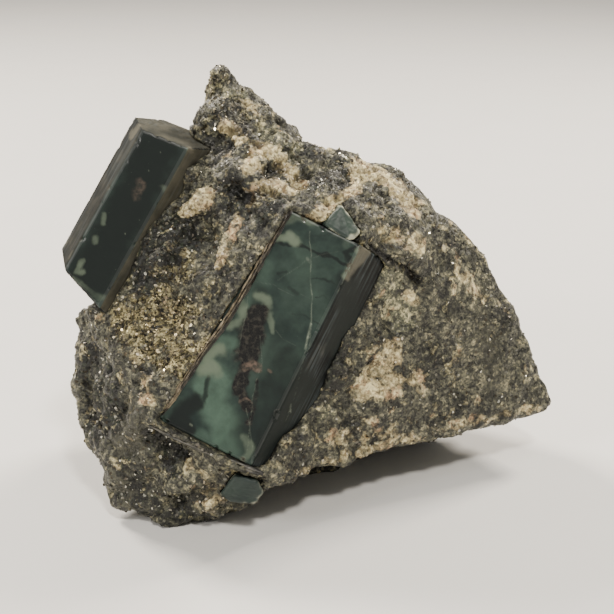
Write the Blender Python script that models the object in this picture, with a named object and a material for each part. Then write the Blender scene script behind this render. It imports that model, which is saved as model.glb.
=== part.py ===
"""Emerald specimen: two hexagonal emerald crystals and two small ones grown in a piece of mica schist.

The rock stands on a flat patch under its left half, and its right tip clears the surface.
Lengths are in millimetres, +Z is up and -Y is the side that is shown. The origin ends up at the
centre of the specimen's box, on the surface that it stands on.
"""

import math

import bmesh
import bpy
from mathutils import Matrix, Vector, noise

MM = 0.001

# The rock's grain: finest step of its surface, and the share of its triangles that is kept.
ROCK_STEP = 1.6
ROCK_KEPT = 0.155
FIT_GAP = 0.35
VIEW_TILT = math.radians(20)
CUT_DEPTH = 40.0

# The front crystal, a flattened hexagonal prism with a polished face towards the viewer.
FRONT_CENTRE = (-11.5, -36.0, 60.3)
FRONT_AXIS = (0.446, 0.306, 0.841)
FRONT_ACROSS = (0.895, -0.152, -0.419)
FRONT_SIDES = (28.5, 18.0, 14.0, 24.5, 22.0, 10.0)
FRONT_LEFT = -16.0
FRONT_TOP = 33.6
FRONT_BOTTOM = -35.0

# The side crystal, a smaller prism of the same kind that stands proud of the rock's left edge.
SIDE_CENTRE = (-52.3, -13.0, 89.3)
SIDE_AXIS = (0.485, 0.299, 0.822)
SIDE_SIDES = (13.8, 12.0, 10.8, 14.8, 11.0, 11.8)
SIDE_LEFT = -7.4
SIDE_TURN = math.radians(2)
SIDE_TOP = 23.5
SIDE_BOTTOM = -26.0

CRYSTAL_BEVEL = 0.5

# The chunks of rock, each the convex hull of its corners.
ROCK_CHUNKS = {
    "bed": (
        (-19.4, -6.5, 105.0), (-5.3, -25.3, 96.0), (-43.1, -45.6, 39.8), (-47.5, -45.5, 37.4),
        (-60.3, -20.6, 62.0), (-62.8, -10.0, 59.4), (-69.0, -8.0, 49.0), (-71.4, -10.0, 40.0),
        (-71.6, -14.0, 32.0), (-64.0, -22.0, 22.6), (-59.0, -31.0, 9.4), (6.3, -20.6, 88.5),
        (-25.8, -41.0, 26.6), (-20.4, -36.0, 22.5), (9.0, -15.9, 84.0), (-34.0, 8.0, 109.0),
        (-30.0, -3.5, 104.5), (-18.0, 34.0, 90.0), (-42.0, 30.0, 70.0), (-55.0, 27.0, 38.0),
        (-10.0, 44.0, 24.0), (0.0, 39.0, 78.0), (-46.0, 36.0, 14.0),
    ),
    "wing": (
        (-5.0, -37.0, 15.6), (6.8, -30.5, 15.6), (19.0, -24.5, 16.4), (41.1, -13.2, 16.8),
        (57.6, -4.6, 17.4), (77.0, 4.0, 17.0), (79.6, 6.0, 19.8), (75.8, 6.0, 24.4),
        (71.0, 6.0, 39.3), (63.2, 6.0, 54.6), (57.8, 7.0, 67.2), (45.2, 8.0, 80.6),
        (35.6, 8.0, 90.6), (22.5, -14.6, 76.0), (33.0, -9.9, 71.7), (12.0, -15.6, 87.0),
        (32.0, -1.0, 88.0), (11.5, 12.0, 100.0), (66.0, 24.0, 26.0), (52.0, 33.0, 48.0),
        (34.0, 36.0, 72.0), (8.0, 33.0, 91.0), (28.0, 43.0, 16.0), (38.0, 24.0, 3.0),
        (-10.0, 44.0, 22.0), (-20.0, 10.0, 60.0), (56.0, 26.0, 14.0),
    ),
    "shoulder": (
        (-1.0, -26.0, 93.5), (11.6, -27.0, 86.0), (21.0, -23.5, 78.0), (34.5, -11.6, 71.5),
        (37.8, -4.0, 80.0), (29.0, 6.5, 96.6), (18.0, 7.0, 101.2), (11.0, 7.0, 102.2),
        (0.0, 8.0, 105.8), (-8.0, -8.0, 99.0), (-4.0, 25.0, 94.0), (26.0, 26.0, 88.0),
        (10.0, 5.0, 70.0),
    ),
    "crag": (
        (-27.2, 15.5, 127.8), (-29.8, 14.5, 125.6), (-30.2, 13.5, 120.6), (-29.4, 11.5, 116.6),
        (-21.4, 12.5, 125.2), (-17.0, 14.0, 121.4), (-13.4, 13.5, 114.8), (-10.2, 12.0, 107.6),
        (-1.5, 10.0, 105.2), (-25.0, -3.5, 104.0), (-9.0, -10.0, 100.0), (-26.0, 27.0, 106.0),
        (-8.0, 28.0, 100.0), (-33.5, 12.0, 104.0), (-26.0, 21.5, 121.0), (-35.0, 20.0, 88.0),
    ),
    "toe": (
        (-46.3, -45.6, 37.0), (-12.8, -48.8, 22.8), (-11.0, -42.4, 16.0), (-18.8, -38.6, 9.0),
        (-26.5, -35.4, 1.6), (-33.0, -36.0, -3.0), (-44.0, -36.0, -3.0), (-53.0, -34.0, 5.0),
        (-60.0, -31.0, 9.6), (-50.0, 0.0, 4.0), (-25.0, -26.0, -3.0), (-20.0, 10.0, 40.0),
        (-50.0, 10.0, 40.0),
    ),
    "heel": (
        (-12.8, -47.6, 23.0), (-11.0, -43.4, 15.6), (-4.0, -38.8, 15.2), (2.5, -34.6, 15.2),
        (-4.0, -37.2, 26.0), (3.0, -31.6, 31.0), (-12.0, -22.0, 8.5), (0.0, -18.0, 9.5),
        (-14.0, -20.0, 30.0), (4.0, -20.0, 30.0), (4.0, -27.0, 40.0),
    ),
    "foot": (
        (-50.0, -30.0, -3.0), (-33.0, -30.0, -3.0), (36.0, 18.0, -3.0), (36.0, 33.0, -3.0),
        (-26.0, 37.0, -3.0), (-50.0, 14.0, -3.0), (-56.0, -18.0, -3.0), (-58.0, -14.0, 24.0),
        (-33.0, -28.0, 24.0), (44.0, 20.0, 24.0), (42.0, 40.0, 24.0), (-40.0, 40.0, 24.0),
    ),
}

# Rounded lumps along the rock's left edge: centre and radius.
EDGE_LUMPS = (
    ((-62.5, -12.0, 57.5), 4.6),
    ((-66.5, -8.0, 54.0), 3.6),
    ((-65.5, -13.0, 47.0), 4.8),
    ((-67.5, -9.0, 40.5), 4.2),
    ((-67.5, -14.0, 35.0), 4.4),
    ((-68.0, -12.0, 30.0), 3.6),
    ((-59.8, -25.0, 21.0), 3.2),
    ((-28.5, 6.0, 108.5), 4.6),
    ((-36.0, 12.0, 99.0), 5.0),
)

# Hollows that are too deep for the rock's grain: centre, radius and depth.
HOLLOWS = (
    ((-39.0, -43.0, 26.0), 8.0, 4.5),
    ((-20.0, 4.0, 113.5), 4.5, 3.5),
    ((-4.0, -12.0, 99.5), 6.0, 2.5),
    ((-31.0, -14.0, 86.0), 7.0, 2.5),
    ((27.0, -14.0, 60.0), 9.0, 1.8),
)

# Mica edges that stand up beside the front crystal, as lines in its own axes: across, along.
RIM_LEFT = ((-10.6, 35.0), (-13.4, 8.0), (-17.0, -34.0))
RIM_FOOT = ((-21.0, -36.0), (12.0, -37.0))
RIM_WIDTH = 2.2
RIM_HEIGHT = 2.4

# The polished window over the front crystal, in the same axes.
WINDOW = ((-9.6, 33.8), (14.0, 33.8), (14.0, -35.2), (-16.2, -35.2))

# The open crack that runs on from the front crystal's top end.
CRACK_LINE = ((16.7, -24.0, 84.0), (22.2, -18.5, 79.3), (27.8, -14.5, 75.2), (34.5, -10.0, 70.6))
CRACK_WIDTH = 1.6
CRACK_DEPTH = 5.0

# Small crystals that reach the surface: the corners of each.
UPPER_CHIP = (
    (4.9, -25.9, 89.2), (9.6, -22.0, 93.5), (15.0, -24.5, 86.4), (12.2, -27.5, 84.9),
    (2.6, -15.2, 86.0), (8.0, -12.0, 90.5), (14.5, -13.0, 83.0),
)
LOWER_CHIP = (
    (-20.6, -48.6, 22.0), (-14.2, -49.8, 20.6), (-12.6, -47.6, 16.0), (-15.0, -45.8, 11.8),
    (-22.2, -43.6, 11.0), (-25.0, -44.6, 13.8), (-19.0, -34.0, 18.0), (-15.0, -34.0, 14.0),
    (-21.0, -33.0, 12.0),
)


def scaled(points):
    """The points as vectors in metres."""
    return [Vector(point) * MM for point in points]


def clear_scene():
    for obj in list(bpy.data.objects):
        bpy.data.objects.remove(obj, do_unlink=True)


def linked(name, mesh):
    obj = bpy.data.objects.new(name, mesh)
    bpy.context.scene.collection.objects.link(obj)
    return obj


def mesh_from(name, builder):
    """A mesh whose faces the builder adds to a bmesh, with the normals made to point outwards."""
    shape = bmesh.new()
    builder(shape)
    bmesh.ops.recalc_face_normals(shape, faces=shape.faces)
    mesh = bpy.data.meshes.new(name)
    shape.to_mesh(mesh)
    shape.free()
    return mesh


def hull_mesh(name, points):
    """The convex hull of points in metres."""

    def build(shape):
        corners = [shape.verts.new(point) for point in points]
        found = bmesh.ops.convex_hull(shape, input=corners)
        inside = {item for item in found["geom_interior"] + found["geom_unused"]}
        loose = [item for item in inside if isinstance(item, bmesh.types.BMVert)]
        bmesh.ops.delete(shape, geom=loose, context="VERTS")

    return mesh_from(name, build)


def prism_mesh(name, outline, low, high):
    """A prism over a flat outline in metres, from the height low to high along its own Z."""

    def build(shape):
        base = [shape.verts.new((x, y, low)) for x, y in outline]
        top = [shape.verts.new((x, y, high)) for x, y in outline]
        shape.faces.new(base)
        shape.faces.new(top)
        for i in range(len(outline)):
            j = (i + 1) % len(outline)
            shape.faces.new((base[i], base[j], top[j], top[i]))

    return mesh_from(name, build)


def helper(obj):
    """Marks an object as a cutter, which is no piece of the specimen."""
    obj.hide_render = True
    obj.display_type = "WIRE"
    return obj


def applied(obj, name):
    """A new object with obj's modifiers applied, in place of obj."""
    bpy.context.view_layer.update()
    graph = bpy.context.evaluated_depsgraph_get()
    mesh = bpy.data.meshes.new_from_object(obj.evaluated_get(graph))
    bpy.data.objects.remove(obj, do_unlink=True)
    return linked(name, mesh)


def with_boolean(obj, other, operation):
    modifier = obj.modifiers.new(other.name, "BOOLEAN")
    modifier.operation = operation
    modifier.solver = "EXACT"
    modifier.object = other
    return modifier


def axes_matrix(centre, across, normal, axis):
    """A placement whose X, Y and Z run along across, normal and axis, with its origin at centre."""
    columns = (Vector(across), Vector(normal), Vector(axis))
    turn = Matrix([column.normalized() for column in columns]).transposed().to_4x4()
    return Matrix.Translation(Vector(centre) * MM) @ turn


def front_placement():
    """The front crystal's axes: X across its polished face, Y into the rock, Z up its length."""
    axis = Vector(FRONT_AXIS).normalized()
    across = Vector(FRONT_ACROSS)
    across = (across - axis * across.dot(axis)).normalized()
    return axes_matrix(FRONT_CENTRE, across, axis.cross(across), axis)


def side_placement():
    """The side crystal's axes, turned about its length so that its broad face looks a little left."""
    axis = Vector(SIDE_AXIS).normalized()
    across = axis.cross(Vector((0.0, -math.cos(VIEW_TILT), math.sin(VIEW_TILT)))).normalized()
    placed = axes_matrix(SIDE_CENTRE, across, axis.cross(across), axis)
    return placed @ Matrix.Rotation(-SIDE_TURN, 4, "Z")


def hexagon_walk(sides, start):
    """The outline of a hexagon with equal angles, from one corner along each of its six sides."""
    outline = []
    at = Vector(start)
    heading = 0.0
    for length in sides:
        outline.append(at.copy())
        at = at + Vector((math.cos(heading), math.sin(heading))) * length
        heading += math.radians(60)
    return outline


def grown(mesh, gap):
    """Moves every face of a convex mesh outwards by about the gap."""
    shape = bmesh.new()
    shape.from_mesh(mesh)
    shape.normal_update()
    moves = [vert.normal * vert.calc_shell_factor() * gap for vert in shape.verts]
    for vert, move in zip(shape.verts, moves):
        vert.co += move
    shape.to_mesh(mesh)
    shape.free()
    return mesh


def sliced(mesh, cuts):
    """Cuts a closed convex mesh by planes, each a point and the outward normal of the new face."""
    shape = bmesh.new()
    shape.from_mesh(mesh)
    for point, normal in cuts:
        geometry = shape.verts[:] + shape.edges[:] + shape.faces[:]
        cut = bmesh.ops.bisect_plane(
            shape,
            geom=geometry,
            dist=1e-7,
            plane_co=Vector(point) * MM,
            plane_no=Vector(normal).normalized(),
            clear_outer=True,
        )
        rim = [item for item in cut["geom_cut"] if isinstance(item, bmesh.types.BMEdge)]
        bmesh.ops.edgeloop_fill(shape, edges=rim)
    bmesh.ops.recalc_face_normals(shape, faces=shape.faces)
    shape.to_mesh(mesh)
    shape.free()
    return mesh


def hexagonal_prism(name, sides, left, low, high):
    """A prism whose first side, its broad face, lies on y = 0 from x = left."""
    outline = [point * MM for point in hexagon_walk(sides, (left, 0.0))]
    return prism_mesh(name, outline, low * MM, high * MM)


def front_crystal_mesh():
    """The front crystal, narrower at the top of its left edge."""
    mesh = hexagonal_prism("emerald_front", FRONT_SIDES, FRONT_LEFT, FRONT_BOTTOM, FRONT_TOP)
    return sliced(mesh, [((-11.3, 0, FRONT_TOP), (-0.86, -0.50, 0.074))])


def side_crystal_mesh():
    """The side crystal with its slanted ends, its worn corner and the chip at its top left."""
    mesh = hexagonal_prism("emerald_side", SIDE_SIDES, SIDE_LEFT, -40, 40)
    cuts = (
        ((0, 0, SIDE_TOP), (-0.126, -0.35, 1.0)),
        ((0, 0, SIDE_BOTTOM), (-0.33, -0.05, -1.0)),
        ((-9.0, 8.0, SIDE_BOTTOM + 3.6), (-0.78, -0.05, -1.0)),
        ((-12.4, 8.5, SIDE_TOP - 0.4), (-0.85, -0.25, 0.35)),
        ((0, 0, SIDE_BOTTOM + 2.6), (-0.3, -1.0, -1.0)),
    )
    return sliced(mesh, cuts)


def finish_crystal(obj, material):
    """Gives a crystal its worn edges and its material."""
    bevel = obj.modifiers.new("worn_edges", "BEVEL")
    bevel.width = CRYSTAL_BEVEL * MM
    bevel.segments = 1
    bevel.limit_method = "ANGLE"
    bevel.angle_limit = math.radians(20)
    obj.data.materials.clear()
    obj.data.materials.append(material)


def crystals():
    """Each crystal's name, its sharp mesh and its placement."""
    return (
        ("emerald_front", front_crystal_mesh(), front_placement()),
        ("emerald_side", side_crystal_mesh(), side_placement()),
        ("emerald_upper_chip", hull_mesh("emerald_upper_chip", scaled(UPPER_CHIP)), Matrix()),
        ("emerald_lower_chip", hull_mesh("emerald_lower_chip", scaled(LOWER_CHIP)), Matrix()),
    )


def lump_mesh(name, centre, radius):
    def build(shape):
        place = Matrix.Translation(Vector(centre) * MM)
        bmesh.ops.create_icosphere(shape, subdivisions=2, radius=radius * MM, matrix=place)

    return mesh_from(name, build)


def eased(value, low, high):
    """0 below low, 1 above high, and a smooth rise between them."""
    share = min(1.0, max(0.0, (value - low) / (high - low)))
    return share * share * (3.0 - 2.0 * share)


def roughness_at(point):
    """How broken the surface is: low on the sawn-looking right face, high on the crag."""
    right_face = eased(point.x, 14.0, 34.0) * eased(-point.y, -22.0, -4.0)
    crag = eased(point.z, 92.0, 112.0)
    back = eased(point.y, 14.0, 30.0)
    return 1.0 - 0.78 * right_face + 0.45 * crag + 0.35 * back


def ledges_at(point):
    """Steps of split schist: flat treads with short risers, along the rock's foliation."""
    across = point.dot(Vector((-0.62, -0.70, 0.35)))
    warp = 2.6 * noise.noise(point / 21.0)
    turn = (across + warp) / 7.5
    tread = turn - math.floor(turn)
    return 2.4 * (eased(tread, 0.0, 0.82) - 0.5)


def lumps_at(point):
    return 2.9 * noise.fractal(point / 19.0, 0.8, 2.1, 4, noise_basis="PERLIN_ORIGINAL")


def grains_at(point):
    """Rounded grains and the creases between them."""
    distances, _ = noise.voronoi(point / 7.0)
    return 2.6 * (0.45 - distances[0])


def pits_at(point):
    """Pits where whole grains have dropped out."""
    distances, _ = noise.voronoi((point + Vector((31.0, 17.0, 5.0))) / 15.0)
    return -3.8 * (1.0 - eased(distances[0], 0.10, 0.30))


def hollows_at(point):
    depth = 0.0
    for centre, radius, deepest in HOLLOWS:
        depth -= deepest * (1.0 - eased((point - Vector(centre)).length, 0.3 * radius, radius))
    return depth


def relief_at(point):
    """How far the surface stands out from the plain chunk of rock, in millimetres."""
    rough = roughness_at(point)
    left = eased(-point.x, -12.0, 26.0)
    relief = lumps_at(point) * (0.2 + 0.8 * rough) + grains_at(point) * rough
    relief += ledges_at(point) * (0.25 + 0.75 * left)
    return relief + pits_at(point) * rough + hollows_at(point)


def raised(obj):
    """Moves the rock's surface along its normals by its relief, less where the rims will stand."""
    mesh = obj.data
    into_front = front_placement().inverted()
    moves = []
    for vertex in mesh.vertices:
        place = (into_front @ vertex.co) / MM
        beside = abs(place.x) < 22.0 and abs(place.z) < 39.0 and place.y < 6.0
        keep = 0.35 if beside else 1.0
        moves.append(vertex.normal * (relief_at(vertex.co / MM) * keep * MM))
    for vertex, move in zip(mesh.vertices, moves):
        vertex.co += move
    return obj


def skinned(obj, name):
    """One even skin around everything that the object's mesh encloses."""
    skin = obj.modifiers.new(name, "REMESH")
    skin.mode = "VOXEL"
    skin.voxel_size = ROCK_STEP * MM
    return applied(obj, name)


def rough_rock():
    """The chunks and lumps as one skin, raised by the relief and thinned to the triangles that show."""
    chunks = [linked(name, hull_mesh(name, scaled(corners))) for name, corners in ROCK_CHUNKS.items()]
    for i, (centre, radius) in enumerate(EDGE_LUMPS):
        chunks.append(linked(f"lump_{i}", lump_mesh(f"lump_{i}", centre, radius)))
    body, others = chunks[0], chunks[1:]
    for other in others:
        with_boolean(body, other, "UNION")
    body = applied(body, "chunks")
    for other in others:
        bpy.data.objects.remove(other, do_unlink=True)
    body = skinned(raised(skinned(body, "smooth_skin")), "rough_skin")
    thin = body.modifiers.new("thin", "DECIMATE")
    thin.ratio = ROCK_KEPT
    return applied(body, "matrix_rock")


def rim_mesh(name, line):
    """A low ridge along a line of the front crystal's face, as a chain of four-sided bars."""
    foot = -3 * RIM_HEIGHT
    section = (
        (-RIM_WIDTH, foot),
        (0.6 * RIM_WIDTH, foot),
        (0.45 * RIM_WIDTH, RIM_HEIGHT),
        (-0.3, RIM_HEIGHT),
    )

    def build(shape):
        rings = []
        for across, along in line:
            corners = [Vector((across + x, -y, along)) * MM for x, y in section]
            rings.append([shape.verts.new(corner) for corner in corners])
        for near, far in zip(rings, rings[1:]):
            for i in range(4):
                j = (i + 1) % 4
                shape.faces.new((near[i], near[j], far[j], far[i]))
        shape.faces.new(rings[0])
        shape.faces.new(rings[-1])

    return mesh_from(name, build)


def foot_rim_mesh(name):
    """The mica edge under the front crystal's foot, which runs on past its left corner."""

    def build(shape):
        rings = []
        for across, along in RIM_FOOT:
            section = ((-RIM_WIDTH, -4.5), (RIM_WIDTH, -4.5), (0.5, RIM_HEIGHT), (-0.5, RIM_HEIGHT))
            rings.append([shape.verts.new(Vector((across, -y, along + x)) * MM) for x, y in section])
        near, far = rings
        for i in range(4):
            j = (i + 1) % 4
            shape.faces.new((near[i], near[j], far[j], far[i]))
        shape.faces.new(near)
        shape.faces.new(far)

    return mesh_from(name, build)


def window_mesh():
    """The space in front of the front crystal's face, which the rock is ground away from."""

    def build(shape):
        level = [shape.verts.new(Vector((x, 0.4, z)) * MM) for x, z in WINDOW]
        front = [shape.verts.new(Vector((x, -CUT_DEPTH, z)) * MM) for x, z in WINDOW]
        shape.faces.new(level)
        shape.faces.new(front)
        for i in range(len(WINDOW)):
            j = (i + 1) % len(WINDOW)
            shape.faces.new((level[i], level[j], front[j], front[i]))

    return mesh_from("window", build)


def crack_mesh():
    """A wedge that narrows into the rock along the crack's line."""

    def build(shape):
        into = Vector((0.10, 0.94, -0.32))
        rings = []
        for point in CRACK_LINE:
            centre = Vector(point)
            side = Vector((0.42, 0.25, 0.87)) * CRACK_WIDTH * 0.5
            corners = (centre - into * 6 - side * 2, centre - into * 6 + side * 2, centre + into * CRACK_DEPTH)
            rings.append([shape.verts.new(corner * MM) for corner in corners])
        for near, far in zip(rings, rings[1:]):
            for i in range(3):
                j = (i + 1) % 3
                shape.faces.new((near[i], near[j], far[j], far[i]))
        shape.faces.new(rings[0])
        shape.faces.new(rings[-1])

    return mesh_from("crack", build)


def base_cutter_mesh():
    """Everything below the surface that the specimen stands on."""
    side = 120.0 * MM
    outline = [Vector(corner) * side for corner in ((-1, -1), (1, -1), (1, 1), (-1, 1))]
    return prism_mesh("below_base", outline, -CUT_DEPTH * MM, 0.0)


def matrix_rock(material, pieces):
    """The rock with its rims, its flat base and a socket for every crystal."""
    rock = rough_rock()
    placed = front_placement()
    for mesh, operation, where in (
        (base_cutter_mesh(), "DIFFERENCE", Matrix()),
        (rim_mesh("rim_left", RIM_LEFT), "UNION", placed),
        (foot_rim_mesh("rim_foot"), "UNION", placed),
        (window_mesh(), "DIFFERENCE", placed),
        (crack_mesh(), "DIFFERENCE", Matrix()),
    ):
        tool = helper(linked(mesh.name, mesh))
        tool.matrix_world = where
        with_boolean(rock, tool, operation)
    for name, mesh, where in pieces:
        socket = helper(linked(f"socket_{name}", grown(mesh.copy(), FIT_GAP * MM)))
        socket.matrix_world = where
        with_boolean(rock, socket, "DIFFERENCE")
    rock.data.materials.clear()
    rock.data.materials.append(material)
    return rock


def finish(name, colour, roughness):
    """A Principled material."""
    material = bpy.data.materials.new(name)
    material.use_nodes = True
    shader = material.node_tree.nodes["Principled BSDF"]
    shader.inputs["Base Color"].default_value = (*colour, 1.0)
    shader.inputs["Roughness"].default_value = roughness
    shader.inputs["Metallic"].default_value = 0.0
    material.diffuse_color = (*colour, 1.0)
    return material


def stand_on_origin(parts):
    """Parents everything to one empty and moves it so that the origin is under the box's centre."""
    bpy.context.view_layer.update()
    graph = bpy.context.evaluated_depsgraph_get()
    corners = []
    for part in parts:
        solid = part.evaluated_get(graph)
        corners += [part.matrix_world @ vertex.co for vertex in solid.data.vertices]
    middle = [(min(c[i] for c in corners) + max(c[i] for c in corners)) / 2 for i in (0, 1)]
    lowest = min(corner.z for corner in corners)
    specimen = bpy.data.objects.new("specimen", None)
    bpy.context.scene.collection.objects.link(specimen)
    for obj in list(bpy.context.scene.objects):
        if obj is not specimen:
            obj.parent = specimen
    specimen.location = (-middle[0], -middle[1], -lowest)


def main():
    clear_scene()
    schist = finish("schist", (0.20, 0.18, 0.14), 0.62)
    emerald = finish("emerald", (0.05, 0.16, 0.11), 0.12)
    pieces = crystals()
    parts = [matrix_rock(schist, pieces)]
    for name, mesh, where in pieces:
        crystal = linked(name, mesh)
        crystal.matrix_world = where
        finish_crystal(crystal, emerald)
        parts.append(crystal)
    stand_on_origin(parts)


main()
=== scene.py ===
"""The looks of the emerald specimen: polished emerald crystals in a lump of mica schist."""

import logging
import math
from dataclasses import dataclass, field
from enum import Enum
from itertools import combinations
from typing import Optional, Sequence, Union

import bmesh
import bpy
import numpy as np
from mathutils import Vector, noise
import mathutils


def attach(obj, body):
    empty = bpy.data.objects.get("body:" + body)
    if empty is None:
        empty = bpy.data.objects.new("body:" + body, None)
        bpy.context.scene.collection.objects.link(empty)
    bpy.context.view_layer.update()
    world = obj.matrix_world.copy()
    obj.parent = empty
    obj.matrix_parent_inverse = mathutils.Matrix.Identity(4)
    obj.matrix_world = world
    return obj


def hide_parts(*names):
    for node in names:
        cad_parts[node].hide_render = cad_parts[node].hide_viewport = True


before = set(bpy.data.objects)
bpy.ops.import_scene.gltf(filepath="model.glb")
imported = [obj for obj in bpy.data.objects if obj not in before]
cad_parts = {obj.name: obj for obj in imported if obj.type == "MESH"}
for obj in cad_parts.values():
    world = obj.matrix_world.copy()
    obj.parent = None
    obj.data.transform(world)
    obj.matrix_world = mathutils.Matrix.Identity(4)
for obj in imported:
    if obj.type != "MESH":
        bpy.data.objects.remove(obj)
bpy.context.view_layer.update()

MM = 0.001
BODY = "root"
NOISE_SEED = 5
MERGE_GAP = 0.001 * MM

Colour = tuple[float, float, float]
Point = tuple[float, float, float]
Spot = tuple[float, float]
Feed = Union[bpy.types.NodeSocket, float, tuple]

log = logging.getLogger("emerald_specimen")


class Mark(Enum):
    """What a stroke paints inside a crystal. The value is the name of the point attribute."""

    VEIL = "veil"
    CLOUD = "cloud"
    BRIGHT = "bright"
    DARK = "dark"
    BROWN = "brown"
    PINK = "pink"


class Mineral(Enum):
    """What a patch of the rock is made of. The value is the name of the point attribute."""

    FELDSPAR = "feldspar"
    QUARTZ = "quartz"
    GOLD_MICA = "gold_mica"
    # Dark mica, and also painted shade where its patches lie along the crack and in dents.
    DARK_MICA_AND_SHADE = "dark_mica_and_shade"
    FIBRE = "fibre"
    COMPACT = "compact"
    GRANULAR = "granular"


@dataclass(frozen=True)
class Stroke:
    """A mark inside a crystal: a line in millimetres across and along its polished face."""

    mark: Mark
    width: float
    strength: float
    line: tuple[Spot, ...]


@dataclass(frozen=True)
class Patch:
    """A patch of one mineral, or of painted shade in a crack or hollow: a line in millimetres through the
    rock's surface.
    """

    mineral: Mineral
    width: float
    strength: float
    line: tuple[Point, ...]


@dataclass(frozen=True)
class Dent:
    """A hollow in the rock: a line in millimetres, its half width and its depth. Less than 0 is a swell."""

    width: float
    depth: float
    line: tuple[Point, ...]


def smooth_step(values: np.ndarray, low: float, high: float) -> np.ndarray:
    """A soft step from 0 at low to 1 at high.

    Args:
        values: The numbers to be stepped.
        low: Where the step starts.
        high: Where the step ends.

    Returns:
        An array of the same shape, between 0 and 1.
    """
    share = np.clip((values - low) / (high - low), 0.0, 1.0)
    return share * share * (3.0 - 2.0 * share)


def distance_to_line(points: np.ndarray, line: Sequence[Sequence[float]]) -> np.ndarray:
    """How far each point lies from a line of straight runs.

    Args:
        points: One row for each point, in two or three dimensions.
        line: The line's corners, in the same dimensions. One corner alone is a spot.

    Returns:
        One distance for each point.
    """
    corners = np.array(line, dtype=float)
    if len(corners) == 1:
        return np.linalg.norm(points - corners[0], axis=1)
    nearest = np.full(len(points), np.inf)
    for start, end in zip(corners, corners[1:]):
        run = end - start
        share = np.clip((points - start) @ run / max(run @ run, 1e-9), 0.0, 1.0)
        gap = np.linalg.norm(points - start - share[:, None] * run, axis=1)
        nearest = np.minimum(nearest, gap)
    return nearest


def rough_noise(points: np.ndarray, size: float, octaves: int, offset: float = 0.0) -> np.ndarray:
    """Fractal noise at each point.

    Args:
        points: One row of three millimetre values for each point.
        size: The size of the largest bumps, in millimetres.
        octaves: How many finer layers are added.
        offset: A shift that gives a different pattern of the same kind.

    Returns:
        One number for each point, about -1 to 1.
    """
    shift = Vector((offset, offset * 1.7, offset * 0.6))
    scaled = points / size
    return np.array([noise.fractal(Vector(p) + shift, 1.0, 2.1, octaves) for p in scaled])


@dataclass(frozen=True)
class Packing:
    """Grains packed side by side, as seen from each point of a mesh.

    The round share is 0 at a joint and 1 in the middle of a grain, the tone is random for each grain,
    and the slant is the height of a grain's tilted face, in grain sizes.
    """

    rounds: np.ndarray
    tones: np.ndarray
    slants: np.ndarray


def grain_noise(points: np.ndarray, size: float, offset: float = 0.0) -> Packing:
    """Packs grains around each point.

    Args:
        points: One row of three millimetre values for each point.
        size: The grains' size, in millimetres.
        offset: A shift that gives a different packing.

    Returns:
        The packing at each point.
    """
    rounds = np.empty(len(points))
    tones = np.empty(len(points))
    slants = np.empty(len(points))
    shift = Vector((offset, offset * 0.4, offset * 1.3))
    for index, point in enumerate(points / size):
        here = Vector(point) + shift
        gaps, centres = noise.voronoi(here)
        rounds[index] = min(1.0, gaps[1] - gaps[0])
        tones[index] = 0.5 + 0.5 * noise.noise(centres[0] * 7.3)
        slants[index] = (here - centres[0]).dot(noise.noise_vector(centres[0] * 5.1))
    return Packing(rounds, tones, slants)


def coordinates(mesh: bpy.types.Mesh) -> np.ndarray:
    """A mesh's points, in millimetres, one row each."""
    values = np.empty(len(mesh.vertices) * 3)
    mesh.vertices.foreach_get("co", values)
    return values.reshape(-1, 3) / MM


def directions(mesh: bpy.types.Mesh) -> np.ndarray:
    """The direction that each point of a mesh faces, one row each."""
    values = np.empty(len(mesh.vertices) * 3)
    mesh.vertices.foreach_get("normal", values)
    return values.reshape(-1, 3)


def move_points(mesh: bpy.types.Mesh, points: np.ndarray) -> None:
    """Puts a mesh's points at new places, in millimetres."""
    mesh.vertices.foreach_set("co", (points * MM).ravel())
    mesh.update()


def store(mesh: bpy.types.Mesh, name: str, values: np.ndarray) -> None:
    """Keeps a number or a vector on each point, for the finish to read.

    Args:
        mesh: The mesh that gets the attribute.
        name: The attribute's name.
        values: One number or one row of three numbers for each point.
    """
    if values.ndim == 1:
        attribute = mesh.attributes.new(name, "FLOAT", "POINT")
        attribute.data.foreach_set("value", values.astype(np.float32))
    else:
        attribute = mesh.attributes.new(name, "FLOAT_VECTOR", "POINT")
        attribute.data.foreach_set("vector", values.astype(np.float32).ravel())


def stored(mesh: bpy.types.Mesh, name: str) -> np.ndarray:
    """Reads back a number that a mesh keeps on its points."""
    values = np.empty(len(mesh.vertices), dtype=np.float32)
    mesh.attributes[name].data.foreach_get("value", values)
    return values


def place_number(place: Vector) -> float:
    """One number for a place, which sorts by X, then Y, then Z, to a hundredth of a millimetre."""
    x, y, z = (round(value / MM, 2) for value in place)
    return x * 1e10 + y * 1e5 + z


def sort_by_place(mesh: bpy.types.Mesh) -> None:
    """Puts a mesh's points and faces in an order that is the same each run."""
    shape = bmesh.new()
    shape.from_mesh(mesh)
    shape.verts.sort(key=lambda vert: place_number(vert.co))
    shape.faces.sort(key=lambda flat: place_number(flat.calc_center_median()))
    shape.to_mesh(mesh)
    shape.free()


def merge_doubles(mesh: bpy.types.Mesh) -> None:
    """Joins the loose triangles of a node's mesh at their corners."""
    shape = bmesh.new()
    shape.from_mesh(mesh)
    bmesh.ops.remove_doubles(shape, verts=shape.verts, dist=MERGE_GAP)
    shape.to_mesh(mesh)
    shape.free()


def new_object(name: str, mesh: bpy.types.Mesh) -> bpy.types.Object:
    """Makes an object of a mesh and links it to the scene."""
    piece = bpy.data.objects.new(name, mesh)
    bpy.context.scene.collection.objects.link(piece)
    return piece


def settled(piece: bpy.types.Object, name: str) -> bpy.types.Object:
    """Turns a piece with live modifiers into a plain one.

    Args:
        piece: The object whose modifiers are worked out. It is removed.
        name: The plain piece's name.

    Returns:
        A new object with the finished mesh and no modifiers.
    """
    graph = bpy.context.evaluated_depsgraph_get()
    mesh = bpy.data.meshes.new_from_object(piece.evaluated_get(graph))
    mesh.name = name
    bpy.data.objects.remove(piece)
    return new_object(name, mesh)


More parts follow.
